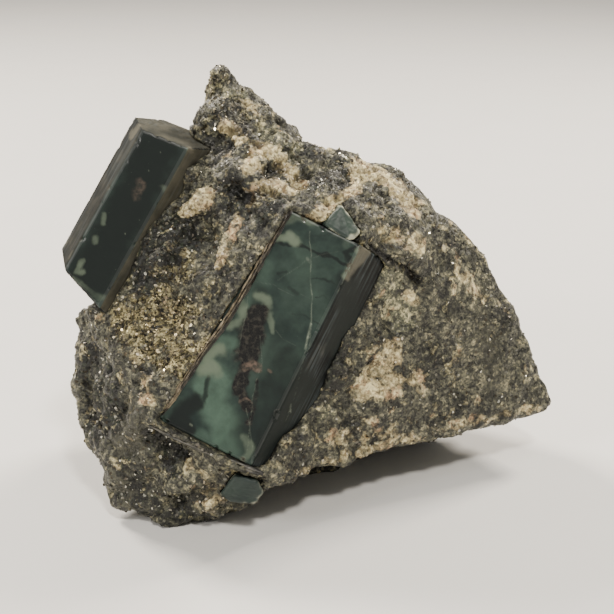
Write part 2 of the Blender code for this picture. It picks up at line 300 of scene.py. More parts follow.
def add_node(
    tree: bpy.types.NodeTree, kind: str, inputs: dict[Union[str, int], Feed], **settings: object
) -> bpy.types.Node:
    """Adds a node to a tree, sets it and feeds its sockets.

    Args:
        tree: The tree that gets the node.
        kind: The node's type.
        inputs: A socket or a constant for each input, by name or number.
        **settings: The node's own properties.

    Returns:
        The new node.
    """
    node = tree.nodes.new(kind)
    for name, value in settings.items():
        setattr(node, name, value)
    for name, value in inputs.items():
        if isinstance(value, bpy.types.NodeSocket):
            tree.links.new(value, node.inputs[name])
        else:
            node.inputs[name].default_value = value
    return node


class NodeSheet:
    """A material's node tree, with one call for each node that the finishes share."""

    def __init__(self, name: str) -> None:
        """Starts a material with a principled shader.

        Args:
            name: The material's name.
        """
        self.material = bpy.data.materials.new(name)
        self.material.use_nodes = True
        self.tree = self.material.node_tree
        self.tree.nodes.clear()
        self.shader = self.node("ShaderNodeBsdfPrincipled", {})
        self.node("ShaderNodeOutputMaterial", {"Surface": self.shader.outputs["BSDF"]})
        self.place = self.node("ShaderNodeTexCoord", {}).outputs["Object"]

    def node(self, kind: str, inputs: dict[Union[str, int], Feed], **settings: object) -> bpy.types.Node:
        """Adds a node to the material."""
        return add_node(self.tree, kind, inputs, **settings)

    def maths(self, operation: str, first: Feed, second: Feed = 0.0) -> bpy.types.NodeSocket:
        """The result of one sum on two numbers."""
        return self.node("ShaderNodeMath", {0: first, 1: second}, operation=operation).outputs[0]

    def plus(self, total: Feed, value: Feed, share: Feed) -> bpy.types.NodeSocket:
        """A total with a share of another number added."""
        return self.maths("ADD", total, self.maths("MULTIPLY", value, share))

    def noise(self, size: float, detail: float = 4.0, vector: Optional[Feed] = None) -> bpy.types.NodeSocket:
        """Smooth noise whose largest bumps have a size in millimetres.

        Args:
            size: The size of the largest bumps.
            detail: How many finer layers are added.
            vector: The coordinates, or None for the piece's own place in metres.

        Returns:
            The noise, about 0 to 1.
        """
        scale = 1.0 / (size * MM) if vector is None else 1.0 / size
        feed = self.place if vector is None else vector
        inputs = {"Vector": feed, "Scale": scale, "Detail": detail, "Roughness": 0.58}
        return self.node("ShaderNodeTexNoise", inputs).outputs["Fac"]

    def cells(self, size: float, vector: Optional[Feed] = None) -> bpy.types.Node:
        """A packing of cells, each with a random colour.

        Args:
            size: The cells' size in millimetres.
            vector: The coordinates, or None for the piece's own place in metres.

        Returns:
            The node, with its Color, Distance and Position outputs.
        """
        scale = 1.0 / (size * MM) if vector is None else 1.0 / size
        feed = self.place if vector is None else vector
        return self.node("ShaderNodeTexVoronoi", {"Vector": feed, "Scale": scale})

    def first(self, colour: Feed) -> bpy.types.NodeSocket:
        """The first number of a colour or a vector."""
        return self.node("ShaderNodeSeparateXYZ", {0: colour}).outputs[0]

    def second(self, colour: Feed) -> bpy.types.NodeSocket:
        """The second number of a colour or a vector."""
        return self.node("ShaderNodeSeparateXYZ", {0: colour}).outputs[1]

    def stretched(self, size: Point, vector: Optional[Feed] = None) -> bpy.types.NodeSocket:
        """Coordinates that are longer one way, for grain that runs in a direction."""
        feed = self.place if vector is None else vector
        return self.node("ShaderNodeMapping", {"Vector": feed, "Scale": size}).outputs[0]

    def mark(self, name: str) -> bpy.types.NodeSocket:
        """A number that the piece's mesh keeps on its points."""
        return self.node("ShaderNodeAttribute", {}, attribute_name=name).outputs["Fac"]

    def vector(self, name: str) -> bpy.types.NodeSocket:
        """A vector that the piece's mesh keeps on its points."""
        return self.node("ShaderNodeAttribute", {}, attribute_name=name).outputs["Vector"]

    def step(self, value: Feed, low: float, high: float) -> bpy.types.NodeSocket:
        """A soft step of a number, from 0 at low to 1 at high."""
        inputs = {"Value": value, "From Min": low, "From Max": high}
        return self.node("ShaderNodeMapRange", inputs, interpolation_type="SMOOTHSTEP").outputs[0]

    def span(self, value: Feed, low: float, high: float) -> bpy.types.NodeSocket:
        """A number from 0 to 1 brought between two limits."""
        inputs = {"Value": value, "To Min": low, "To Max": high}
        return self.node("ShaderNodeMapRange", inputs).outputs[0]

    def ramp(self, value: Feed, stops: Sequence[tuple[float, Colour]]) -> bpy.types.NodeSocket:
        """A colour for a number, through a row of stops."""
        node = self.node("ShaderNodeValToRGB", {0: value})
        elements = node.color_ramp.elements
        while len(elements) < len(stops):
            elements.new(1.0)
        for element, (place, colour) in zip(elements, stops):
            element.position = place
            element.color = (*colour, 1.0)
        return node.outputs["Color"]

    def blend(self, share: Feed, low: Feed, high: Feed) -> bpy.types.NodeSocket:
        """Two colours mixed by a share."""
        low = (*low, 1.0) if isinstance(low, tuple) else low
        high = (*high, 1.0) if isinstance(high, tuple) else high
        return self.node("ShaderNodeMix", {0: share, 6: low, 7: high}, data_type="RGBA").outputs[2]

    def scaled(self, colour: Feed, amount: Feed) -> bpy.types.NodeSocket:
        """A colour made darker or lighter by a number."""
        node = self.node("ShaderNodeVectorMath", {0: colour}, operation="SCALE")
        if isinstance(amount, bpy.types.NodeSocket):
            self.tree.links.new(amount, node.inputs["Scale"])
        else:
            node.inputs["Scale"].default_value = amount
        return node.outputs[0]

    def tilted(self, cells: bpy.types.Node, amount: Feed) -> bpy.types.NodeSocket:
        """The surface's direction, turned a random way in each cell, as a face of mica or quartz.

        Args:
            cells: The packing that says which points share a direction.
            amount: How far the direction turns.

        Returns:
            The new direction.
        """
        colours = {0: cells.outputs["Color"], 1: (0.5, 0.5, 0.5)}
        middle = self.node("ShaderNodeVectorMath", colours, operation="SUBTRACT")
        turn = self.scaled(middle.outputs[0], amount)
        facing = self.node("ShaderNodeNewGeometry", {}).outputs["Normal"]
        both = self.node("ShaderNodeVectorMath", {0: facing, 1: turn}, operation="ADD").outputs[0]
        return self.node("ShaderNodeVectorMath", {0: both}, operation="NORMALIZE").outputs[0]

    def bump(
        self, height: Feed, depth: float, strength: float, normal: Optional[Feed] = None
    ) -> bpy.types.NodeSocket:
        """Fine relief.

        Args:
            height: The relief, 0 to 1.
            depth: Its depth in millimetres.
            strength: How much of it shows.
            normal: The direction that it is laid over, or None for the surface's own.

        Returns:
            The new direction.
        """
        inputs: dict = {"Height": height, "Distance": depth * MM, "Strength": strength}
        if normal is not None:
            inputs["Normal"] = normal
        return self.node("ShaderNodeBump", inputs).outputs[0]

    def finish(self, **inputs: Feed) -> bpy.types.Material:
        """Feeds the shader and hands back the material.

        Args:
            **inputs: The shader's sockets, with underscores for spaces.

        Returns:
            The finished material.
        """
        for name, value in inputs.items():
            socket = self.shader.inputs[name.replace("_", " ")]
            if isinstance(value, bpy.types.NodeSocket):
                self.tree.links.new(value, socket)
            else:
                socket.default_value = value
        return self.material


@dataclass(frozen=True)
class SchistFinish:
    """Mica schist: a salt-and-pepper ground with feldspar, quartz and mica in patches."""

    night: Colour = (0.008, 0.008, 0.007)
    ground: Colour = (0.045, 0.045, 0.033)
    ash: Colour = (0.130, 0.126, 0.086)
    salt: Colour = (0.460, 0.405, 0.240)
    tan: Colour = (0.375, 0.300, 0.158)
    rose: Colour = (0.430, 0.280, 0.160)
    cream: Colour = (0.830, 0.735, 0.430)
    glass: Colour = (0.135, 0.138, 0.088)
    gold: Colour = (0.142, 0.122, 0.060)
    straw: Colour = (0.780, 0.680, 0.370)
    slate: Colour = (0.019, 0.021, 0.015)

    def material(self) -> bpy.types.Material:
        """Builds the rock's material from its patches' attributes."""
        sheet = NodeSheet("mica_schist")
        coarse = sheet.cells(1.15)
        fine = sheet.cells(0.55)
        wash = sheet.noise(9.0, 5.0)
        dust = sheet.noise(1.4, 6.0)
        tone = sheet.maths("MULTIPLY", sheet.first(coarse.outputs["Color"]), 0.42)
        tone = sheet.plus(tone, sheet.first(fine.outputs["Color"]), 0.34)
        tone = sheet.plus(tone, dust, 0.80)
        tone = sheet.plus(tone, sheet.noise(3.4, 4.0), 0.95)
        tone = sheet.plus(tone, wash, 0.75)
        tone = sheet.maths("SUBTRACT", tone, 1.235)
        stops = ((0.10, self.night), (0.40, self.ground), (0.66, self.ash), (0.96, self.salt))
        ground = sheet.ramp(tone, stops)
        thread = sheet.noise(1.0, 4.0, sheet.stretched((1 / (0.7 * MM), 1 / (0.7 * MM), 1 / (9 * MM))))
        strand = sheet.ramp(thread, ((0.30, self.night), (0.50, self.ground), (0.72, self.ash)))
        fibre = sheet.maths("MULTIPLY", sheet.mark(Mineral.FIBRE.value), 0.75)
        colour = sheet.blend(fibre, ground, strand)

        ragged = sheet.maths("MULTIPLY", sheet.maths("SUBTRACT", sheet.noise(3.0, 8.0), 0.5), 3.2)
        coarse_edge = sheet.maths("MULTIPLY", sheet.maths("SUBTRACT", sheet.noise(7.5, 4.0), 0.5), 2.6)
        ragged = sheet.maths("ADD", ragged, coarse_edge)
        # Dark mica patches turn the ground black-green; along the crack and in some dents this darkening is
        # painted shade.
        shadow = sheet.step(sheet.maths("ADD", sheet.mark(Mineral.DARK_MICA_AND_SHADE.value), ragged), 0.30, 0.75)
        slate = sheet.scaled(self.slate_colour(sheet), 1.6)
        night = sheet.blend(sheet.step(tone, 0.25, 0.95), self.night, slate)
        colour = sheet.blend(shadow, colour, night)
        gild = sheet.step(sheet.maths("ADD", sheet.mark(Mineral.GOLD_MICA.value), ragged), 0.25, 0.85)
        bronze = sheet.ramp(tone, ((0.15, self.night), (0.45, self.gold), (0.95, self.straw)))
        colour = sheet.blend(gild, colour, bronze)
        clear = sheet.step(sheet.maths("ADD", sheet.mark(Mineral.QUARTZ.value), ragged), 0.30, 0.70)
        glass = sheet.ramp(tone, ((0.10, self.ground), (0.45, self.glass), (0.95, self.cream)))
        colour = sheet.blend(sheet.maths("MULTIPLY", clear, 0.9), colour, glass)
        chalk = sheet.step(sheet.maths("ADD", sheet.mark(Mineral.FELDSPAR.value), ragged), 0.34, 1.10)
        blush = sheet.blend(sheet.step(sheet.noise(6.0, 3.0), 0.52, 0.70), self.tan, self.rose)
        pale = sheet.blend(sheet.step(tone, 0.30, 0.80), blush, self.cream)
        pale = sheet.blend(sheet.step(dust, 0.42, 0.31), pale, self.glass)
        chalk = sheet.maths("MULTIPLY", chalk, sheet.span(sheet.step(tone, 0.10, 0.32), 0.35, 1.0))
        colour = sheet.blend(chalk, colour, pale)

        # Painted shade and light: hollows of the relief are darkened and raised grains lightened a little.
        painted_relief_shade = sheet.span(sheet.step(sheet.mark("relief"), -2.2, 0.6), 0.20, 1.12)
        colour = sheet.scaled(colour, painted_relief_shade)

        bare = sheet.maths("SUBTRACT", 1.0, chalk)
        turn = sheet.maths("MULTIPLY", bare, sheet.span(gild, 0.55, 1.25))
        facet = sheet.tilted(fine, turn)
        normal = sheet.bump(dust, 0.5, 0.7, facet)
        normal = sheet.bump(sheet.first(coarse.outputs["Color"]), 0.25, 0.5, normal)
        rough = sheet.span(sheet.second(fine.outputs["Color"]), 0.24, 0.72)
        rough = sheet.plus(rough, chalk, 0.15)
        shine = sheet.maths("MULTIPLY", gild, sheet.step(sheet.second(coarse.outputs["Color"]), 0.3, 0.8))
        return sheet.finish(
            Base_Color=colour,
            Roughness=rough,
            Metallic=sheet.maths("MULTIPLY", shine, 0.55),
            Normal=normal,
            Specular_IOR_Level=0.38,
        )

    def slate_colour(self, sheet: NodeSheet) -> bpy.types.NodeSocket:
        """The blue-black mica's colour, with a green and a blue side."""
        drift = sheet.noise(6.0, 2.0)
        return sheet.blend(drift, self.slate, (self.slate[0], self.slate[1] * 1.25, self.slate[2] * 1.1))


@dataclass(frozen=True)
class EmeraldFinish:
    """Polished emerald: cloudy green with healed cracks and dark mica inside."""

    name: str
    deep: Colour = (0.017, 0.027, 0.025)
    middle: Colour = (0.039, 0.060, 0.049)
    leaf: Colour = (0.065, 0.106, 0.081)
    mist: Colour = (0.130, 0.163, 0.119)
    thread: Colour = (0.230, 0.262, 0.205)
    umber: Colour = (0.012, 0.012, 0.012)
    rust: Colour = (0.046, 0.043, 0.036)
    shell: Colour = (0.150, 0.108, 0.084)
    ink: Colour = (0.012, 0.016, 0.015)
    plum: Colour = (0.014, 0.017, 0.018)
    gloss: float = 0.14
    shine: float = 0.5

    def material(self) -> bpy.types.Material:
        """Builds the crystal's material from its marks' attributes."""
        sheet = NodeSheet(self.name)
        grain = sheet.vector("grain")
        drift = sheet.noise(14.0, 4.0, grain)
        cloud = sheet.noise(5.0, 6.0, grain)
        fleck = sheet.noise(1.5, 7.0, grain)
        colour = sheet.blend(sheet.step(drift, 0.32, 0.66), self.deep, self.middle)
        bright = sheet.maths("MULTIPLY", sheet.mark(Mark.BRIGHT.value), sheet.span(cloud, 0.45, 1.45))
        colour = sheet.blend(sheet.step(bright, 0.05, 1.05), colour, self.leaf)
        colour = sheet.scaled(colour, sheet.span(cloud, 0.60, 1.45))

        side = sheet.mark("side")
        lines = sheet.noise(1.0, 5.0, sheet.stretched((1 / 0.9, 1 / 22.0, 1 / 0.9), grain))
        dust = sheet.blend(sheet.noise(3.0, 3.0), self.plum, self.rust)
        plum = sheet.blend(sheet.step(cloud, 0.50, 0.72), self.plum, dust)
        shade = (self.ink[0] * 0.3, self.ink[1] * 0.3, self.ink[2] * 0.3)
        flank = sheet.blend(sheet.step(lines, 0.40, 0.66), shade, sheet.scaled(plum, 2.6))
        flank = sheet.scaled(flank, sheet.span(sheet.step(drift, 0.36, 0.60), 0.5, 1.4))
        colour = sheet.blend(side, colour, flank)

        soft = sheet.maths("SUBTRACT", cloud, 0.5)
        dark = sheet.plus(sheet.mark(Mark.DARK.value), soft, 0.8)
        colour = sheet.blend(sheet.step(dark, 0.15, 0.90), colour, self.ink)
        mist = sheet.plus(sheet.mark(Mark.CLOUD.value), soft, 0.8)
        colour = sheet.blend(sheet.step(mist, 0.12, 1.05), colour, self.mist)
        brown = sheet.plus(sheet.mark(Mark.BROWN.value), soft, 1.6)
        earth = sheet.blend(sheet.step(fleck, 0.46, 0.70), self.umber, self.rust)
        colour = sheet.blend(sheet.step(brown, 0.18, 0.82), colour, earth)
        pink = sheet.plus(sheet.mark(Mark.PINK.value), soft, 1.0)
        shell = sheet.blend(sheet.step(fleck, 0.36, 0.60), self.rust, self.shell)
        colour = sheet.blend(sheet.step(pink, 0.25, 0.90), colour, shell)
        veil = sheet.maths("MULTIPLY", sheet.mark(Mark.VEIL.value), sheet.span(fleck, 0.35, 1.35))
        patchy = sheet.span(sheet.step(sheet.noise(2.6, 3.0, grain), 0.34, 0.64), 0.25, 1.0)
        healed = sheet.maths("MULTIPLY", sheet.step(veil, 0.08, 1.05), patchy)
        colour = sheet.blend(healed, colour, self.thread)
        speck = sheet.step(sheet.noise(0.5, 2.0, grain), 0.735, 0.78)
        colour = sheet.blend(sheet.maths("MULTIPLY", speck, 0.5), colour, self.mist)

        scratch = sheet.noise(1.0, 5.0, sheet.stretched((1 / 0.35, 1 / 9.0, 1 / 0.35), grain))
        height = sheet.plus(fleck, scratch, sheet.span(side, 0.25, 1.0))
        normal = sheet.bump(height, 0.08, 0.35)
        worn = sheet.plus(sheet.maths("MULTIPLY", sheet.mark("edge"), 0.25), side, 0.42)
        rough = sheet.maths("ADD", sheet.span(cloud, self.gloss * 0.7, self.gloss * 1.6), worn)
        return sheet.finish(
            Base_Color=colour,
            Roughness=rough,
            Normal=normal,
            IOR=1.50,
            Specular_IOR_Level=self.shine,
        )


@dataclass(frozen=True)
class MicaFinish:
    """Single mica flakes, each with its own tone."""

    bronze: Colour = (0.045, 0.036, 0.022)
    straw: Colour = (0.760, 0.640, 0.400)
    silver: Colour = (0.420, 0.410, 0.350)

    def material(self) -> bpy.types.Material:
        """Builds the flakes' material from the tone that each flake keeps."""
        sheet = NodeSheet("mica")
        tone = sheet.mark("tone")
        warm = sheet.mark(Mineral.GOLD_MICA.value)
        metal = sheet.blend(warm, self.silver, self.straw)
        colour = sheet.blend(sheet.step(tone, 0.35, 0.95), self.bronze, metal)
        sheen = sheet.noise(0.3, 2.0)
        colour = sheet.scaled(colour, sheet.span(sheen, 0.75, 1.2))
        normal = sheet.bump(sheen, 0.05, 0.3)
        return sheet.finish(
            Base_Color=colour,
            Roughness=sheet.span(tone, 0.42, 0.24),
            Metallic=sheet.span(tone, 0.30, 0.95),
            Normal=normal,
        )


@dataclass(frozen=True)
class EdgeFinish:
    """Mica seen edge on: thin dark and pale layers, with a painted highlight along the ridge's top and
    painted shade at its foot.
    """

    name: str
    dark: Colour
    middle: Colour
    pale: Colour

    def material(self) -> bpy.types.Material:
        """Builds the mica edge's material."""
        sheet = NodeSheet(self.name)
        layer = sheet.noise(1.6, 5.0)
        fleck = sheet.noise(0.6, 4.0)
        tone = sheet.plus(sheet.maths("MULTIPLY", layer, 0.6), fleck, 0.4)
        # Painted light and shade: the ridge's top is lightened and its foot darkened; the pale run is
        # lightened too.
        tone = sheet.maths("ADD", tone, sheet.span(sheet.mark("ridge_highlight_and_pale_run"), -0.16, 0.17))
        return sheet.finish(
            Base_Color=sheet.ramp(tone, ((0.30, self.dark), (0.50, self.middle), (0.78, self.pale))),
            Roughness=sheet.span(fleck, 0.30, 0.60),
            Normal=sheet.bump(fleck, 0.2, 0.6),
        )


@dataclass(frozen=True)
class GrainFinish:
    """Crumbs of feldspar and glassy quartz that stand on the rock."""

    smoke: Colour = (0.030, 0.029, 0.023)
    glass: Colour = (0.210, 0.205, 0.155)
    tan: Colour = (0.250, 0.200, 0.130)
    cream: Colour = (0.700, 0.630, 0.490)

    def material(self) -> bpy.types.Material:
        """Builds the crumbs' material from each one's tone and the mineral that it stands on."""
        sheet = NodeSheet("mineral_crumbs")
        tone = sheet.mark("tone")
        chalk = sheet.step(sheet.mark(Mineral.FELDSPAR.value), 0.15, 0.55)
        clear = sheet.blend(tone, self.smoke, self.glass)
        pale = sheet.blend(tone, self.tan, self.cream)
        dust = sheet.noise(0.7, 5.0)
        colour = sheet.scaled(sheet.blend(chalk, clear, pale), sheet.span(dust, 0.65, 1.3))
        return sheet.finish(
            Base_Color=colour,
            Roughness=sheet.span(chalk, 0.30, 0.62),
            Normal=sheet.bump(dust, 0.2, 0.5),
        )


@dataclass(frozen=True)
class FloorFinish:
    """A plain pale floor."""

    white: Colour = (0.80, 0.79, 0.77)

    def material(self) -> bpy.types.Material:
        """Builds the floor's material."""
        sheet = NodeSheet("pale_floor")
        colour = sheet.scaled(self.white, sheet.span(sheet.noise(40.0, 3.0), 0.98, 1.02))
        return sheet.finish(Base_Color=colour, Roughness=0.65)


def flat_faces(node: str, least_area: float) -> list[tuple[Vector, float]]:
    """A frame node's flat faces, as directions and distances in millimetres.

    Args:
        node: The node's name.
        least_area: The smallest face that counts, in square millimetres.

    Returns:
        The direction that each face looks in, and how far along it the face lies.
    """
    shape = bmesh.new()
    shape.from_mesh(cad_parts[node].data)
    bmesh.ops.remove_doubles(shape, verts=shape.verts, dist=MERGE_GAP)
    bmesh.ops.dissolve_limit(shape, angle_limit=math.radians(2), verts=shape.verts, edges=shape.edges)
    planes = []
    for flat in shape.faces:
        if flat.calc_area() / MM**2 >= least_area:
            planes.append((flat.normal.copy(), flat.normal.dot(flat.calc_center_median()) / MM))
    shape.free()
    return planes


@dataclass
class Crystal:
    """A polished emerald crystal, built from the flat faces of its frame node."""

    node: str
    piece: str
    centre: Point
    axis: Point
    across: Point
    face: Point
    strokes: tuple[Stroke, ...]
    finish: EmeraldFinish
    ground_finish: EmeraldFinish
    grey_faces: tuple[tuple[Point, float], ...] = ()
    least_face: float = 65.0
    grow: float = 0.35
    bevel: float = 0.55
    step: float = 0.34
    deep_step: float = 1.5
    hidden_below: float = -0.15
    wave: float = 0.05
    chip: float = 0.9
    fine_wobble: float = 0.35
    wide_wobble: float = 1.1
    fine_spread: float = 0.75
    wide_spread: float = 1.25
    polished_above: float = 0.93

    def __post_init__(self) -> None:
        """Works out the crystal's own directions and planes."""
        self.middle = Vector(self.centre)
        self.up = Vector(self.axis).normalized()
        side = Vector(self.across)
        self.right = (side - self.up * side.dot(self.up)).normalized()
        self.inward = self.up.cross(self.right)
        self.front = Vector(self.face).normalized()
        self.planes = self.main_planes()

    def main_planes(self) -> list[tuple[Vector, float]]:
        """The node's flat faces, grown a little where the rock holds them."""
        planes = flat_faces(self.node, self.least_face)
        return [(way, reach + (0.0 if way.dot(self.front) > 0.95 else self.grow)) for way, reach in planes]

    def outside(self, points: np.ndarray) -> np.ndarray:
        """How far each point lies outside the crystal, in millimetres."""
        gaps = [points @ np.array(way) - reach for way, reach in self.planes]
        return np.max(gaps, axis=0)

    def corners(self) -> list[Vector]:
        """The crystal's corners, where three of its planes meet."""
        found = []
        for three in combinations(self.planes, 3):
            ways = np.array([way for way, _ in three])
            if abs(np.linalg.det(ways)) < 1e-3:
                continue
            spot = np.linalg.solve(ways, np.array([reach for _, reach in three]))
            if all(np.dot(way, spot) <= reach + 1e-4 for way, reach in self.planes):
                found.append(Vector(spot) * MM)
        return found

    def block(self) -> bpy.types.Mesh:
        """The bevelled block, cut into a fine grid along the crystal's own directions."""
        shape = bmesh.new()
        for corner in self.corners():
            shape.verts.new(corner)
        bmesh.ops.remove_doubles(shape, verts=shape.verts, dist=0.02 * MM)
        bmesh.ops.convex_hull(shape, input=shape.verts)
        bmesh.ops.dissolve_limit(shape, angle_limit=math.radians(1), verts=shape.verts, edges=shape.edges)
        bmesh.ops.bevel(
            shape,
            geom=list(shape.edges),
            offset=self.bevel * MM,
            segments=2,
            profile=0.6,
            affect="EDGES",
            clamp_overlap=True,
        )
        bmesh.ops.recalc_face_normals(shape, faces=shape.faces)
        for way, step in ((self.right, self.step), (self.up, self.step), (self.inward, self.deep_step)):
            reaches = [way.dot(vert.co) / MM for vert in shape.verts]
            place = math.floor(min(reaches)) + 0.5 * step
            while place < max(reaches):
                seen = [flat for flat in shape.faces if flat.normal.dot(self.front) > self.hidden_below]
                edges = dict.fromkeys(edge for flat in seen for edge in flat.edges)
                verts = dict.fromkeys(vert for flat in seen for vert in flat.verts)
                bmesh.ops.bisect_plane(
                    shape,
                    geom=list(verts) + list(edges) + seen,
                    dist=1e-7,
                    plane_co=way * place * MM,
                    plane_no=way,
                )
                place += step
        bmesh.ops.triangulate(shape, faces=[flat for flat in shape.faces if len(flat.verts) > 4])
        mesh = bpy.data.meshes.new(self.piece)
        shape.to_mesh(mesh)
        shape.free()
        sort_by_place(mesh)
        return mesh

    def edge_share(self, points: np.ndarray) -> np.ndarray:
        """How near each point is to an edge of the crystal, 1 on the edge."""
        gaps = np.sort([reach - points @ np.array(way) for way, reach in self.planes], axis=0)
        return 1.0 - smooth_step(gaps[1], 0.3, 1.3)

    def own_place(self, points: np.ndarray) -> np.ndarray:
        """Each point across, along and into the crystal, in millimetres."""
        shifted = points - np.array(self.middle)
        return np.stack([shifted @ np.array(way) for way in (self.right, self.up, self.inward)], axis=1)

    def painted(self, mark: Mark, own: np.ndarray, wobble: np.ndarray) -> np.ndarray:
        """How strongly the strokes paint one mark at each point.

        Args:
            mark: The mark whose strokes are drawn.
            own: Each point across, along and into the crystal, in millimetres.
            wobble: Noise that bends the strokes, across and along.

        Returns:
            One number for each point, 0 where no stroke passes.
        """
        fine = mark is Mark.VEIL
        spots = own[:, :2] + wobble * (self.fine_wobble if fine else self.wide_wobble)
        values = np.zeros(len(own))
        for stroke in self.strokes:
            if stroke.mark is mark:
                reach = stroke.width * (self.fine_spread if fine else self.wide_spread)
                gap = distance_to_line(spots, stroke.line)
                values = np.maximum(values, (1.0 - smooth_step(gap, 0.2 * reach, reach)) * stroke.strength)
        return values

    def build(self) -> bpy.types.Object:
        """Builds, wears, marks and dresses the crystal.

        Returns:
            The finished piece.
        """
        mesh = self.block()
        points = coordinates(mesh)
        facing = directions(mesh)
        edge = self.edge_share(points)
        swell = rough_noise(points, 9.0, 3) * self.wave
        nick = smooth_step(rough_noise(points, 2.6, 3, 5.0), 0.18, 0.75) * self.chip * edge
        move_points(mesh, points + facing * (swell - nick)[:, None])
        own = self.own_place(points)
        store(mesh, "grain", own)
        store(mesh, "edge", edge)
        store(mesh, "side", 1.0 - smooth_step(facing @ np.array(self.front), 0.55, 0.92))
        wobble = np.stack([rough_noise(own, 5.0, 4, 1.0), rough_noise(own, 5.0, 4, 9.0)], axis=1)
        for mark in Mark:
            values = self.painted(mark, own, wobble)
            if mark is Mark.CLOUD:
                for way, strength in self.grey_faces:
                    facet = smooth_step(facing @ np.array(Vector(way).normalized()), 0.8, 0.95)
                    values = np.maximum(values, facet * strength)
            store(mesh, mark.value, values)
        piece = new_object(self.piece, mesh)
        mesh.shade_smooth()
        mesh.materials.append(self.finish.material())
        mesh.materials.append(self.ground_finish.material())
        for flat in mesh.polygons:
            flat.material_index = 0 if flat.normal.dot(self.front) > self.polished_above else 1
        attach(piece, BODY)
        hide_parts(self.node)
        return piece


@dataclass
class Chip:
    """A small rough emerald crystal with a pale rim, made from its frame node's own shape."""

    node: str
    piece: str
    finish: EmeraldFinish
    rim: tuple[float, float]
    ahead: Point = (0.0, -0.94, 0.342)
    voxel: float = 0.28
    roughness: float = 0.22
    sectors: int = 24

    def outline_share(self, points: np.ndarray) -> np.ndarray:
        """How near each point is to the chip's outline as seen from the front.

        Args:
            points: The chip's points, in millimetres.

        Returns:
            0 at the middle and 1 at the outline, one number for each point.
        """
        ahead = Vector(self.ahead).normalized()
        right = Vector((1.0, 0.0, 0.0))
        upward = ahead.cross(right)
        middle = 0.5 * (points.min(axis=0) + points.max(axis=0))
        flat = (points - middle) @ np.array([right, upward]).T
        reach = np.linalg.norm(flat, axis=1)
        turn = np.arctan2(flat[:, 1], flat[:, 0])
        edges = np.linspace(-math.pi, math.pi, self.sectors + 1)
        bins = np.clip(np.digitize(turn, edges) - 1, 0, self.sectors - 1)
        most = np.array([reach[bins == number].max(initial=1e-3) for number in range(self.sectors)])
        centres = 0.5 * (edges[:-1] + edges[1:])
        return reach / np.interp(turn, centres, most, period=2.0 * math.pi)

    def build(self) -> bpy.types.Object:
        """Builds, roughens and dresses the chip.

        Returns:
            The finished piece.
        """
        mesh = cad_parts[self.node].data.copy()
        merge_doubles(mesh)
        piece = new_object(self.piece, mesh)
        remesh = piece.modifiers.new("skin", "REMESH")
        remesh.mode = "VOXEL"
        remesh.voxel_size = self.voxel * MM
        piece = settled(piece, self.piece)
        mesh = piece.data
        points = coordinates(mesh)
        facing = directions(mesh)
        swell = rough_noise(points, 3.0, 4, 2.0) * self.roughness + 0.3
        move_points(mesh, points + facing * swell[:, None])
        rim = smooth_step(self.outline_share(points) + rough_noise(points, 2.0, 4) * 0.10, *self.rim)
        store(mesh, "grain", points)
        store(mesh, "edge", np.full(len(points), 0.3))
        store(mesh, "side", np.zeros(len(points)))
        for mark in Mark:
            store(mesh, mark.value, rim if mark is Mark.CLOUD else np.zeros(len(points)))
        mesh.shade_smooth()
        mesh.materials.clear()
        mesh.materials.append(self.finish.material())
        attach(piece, BODY)
        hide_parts(self.node)
        return piece


@dataclass(frozen=True)
class FarPatches:
    """Patches of one mineral on the rock's hidden side, made by noise, in millimetres."""

    mineral: Mineral
    size: float
    offset: float
    low: float
    strength: float


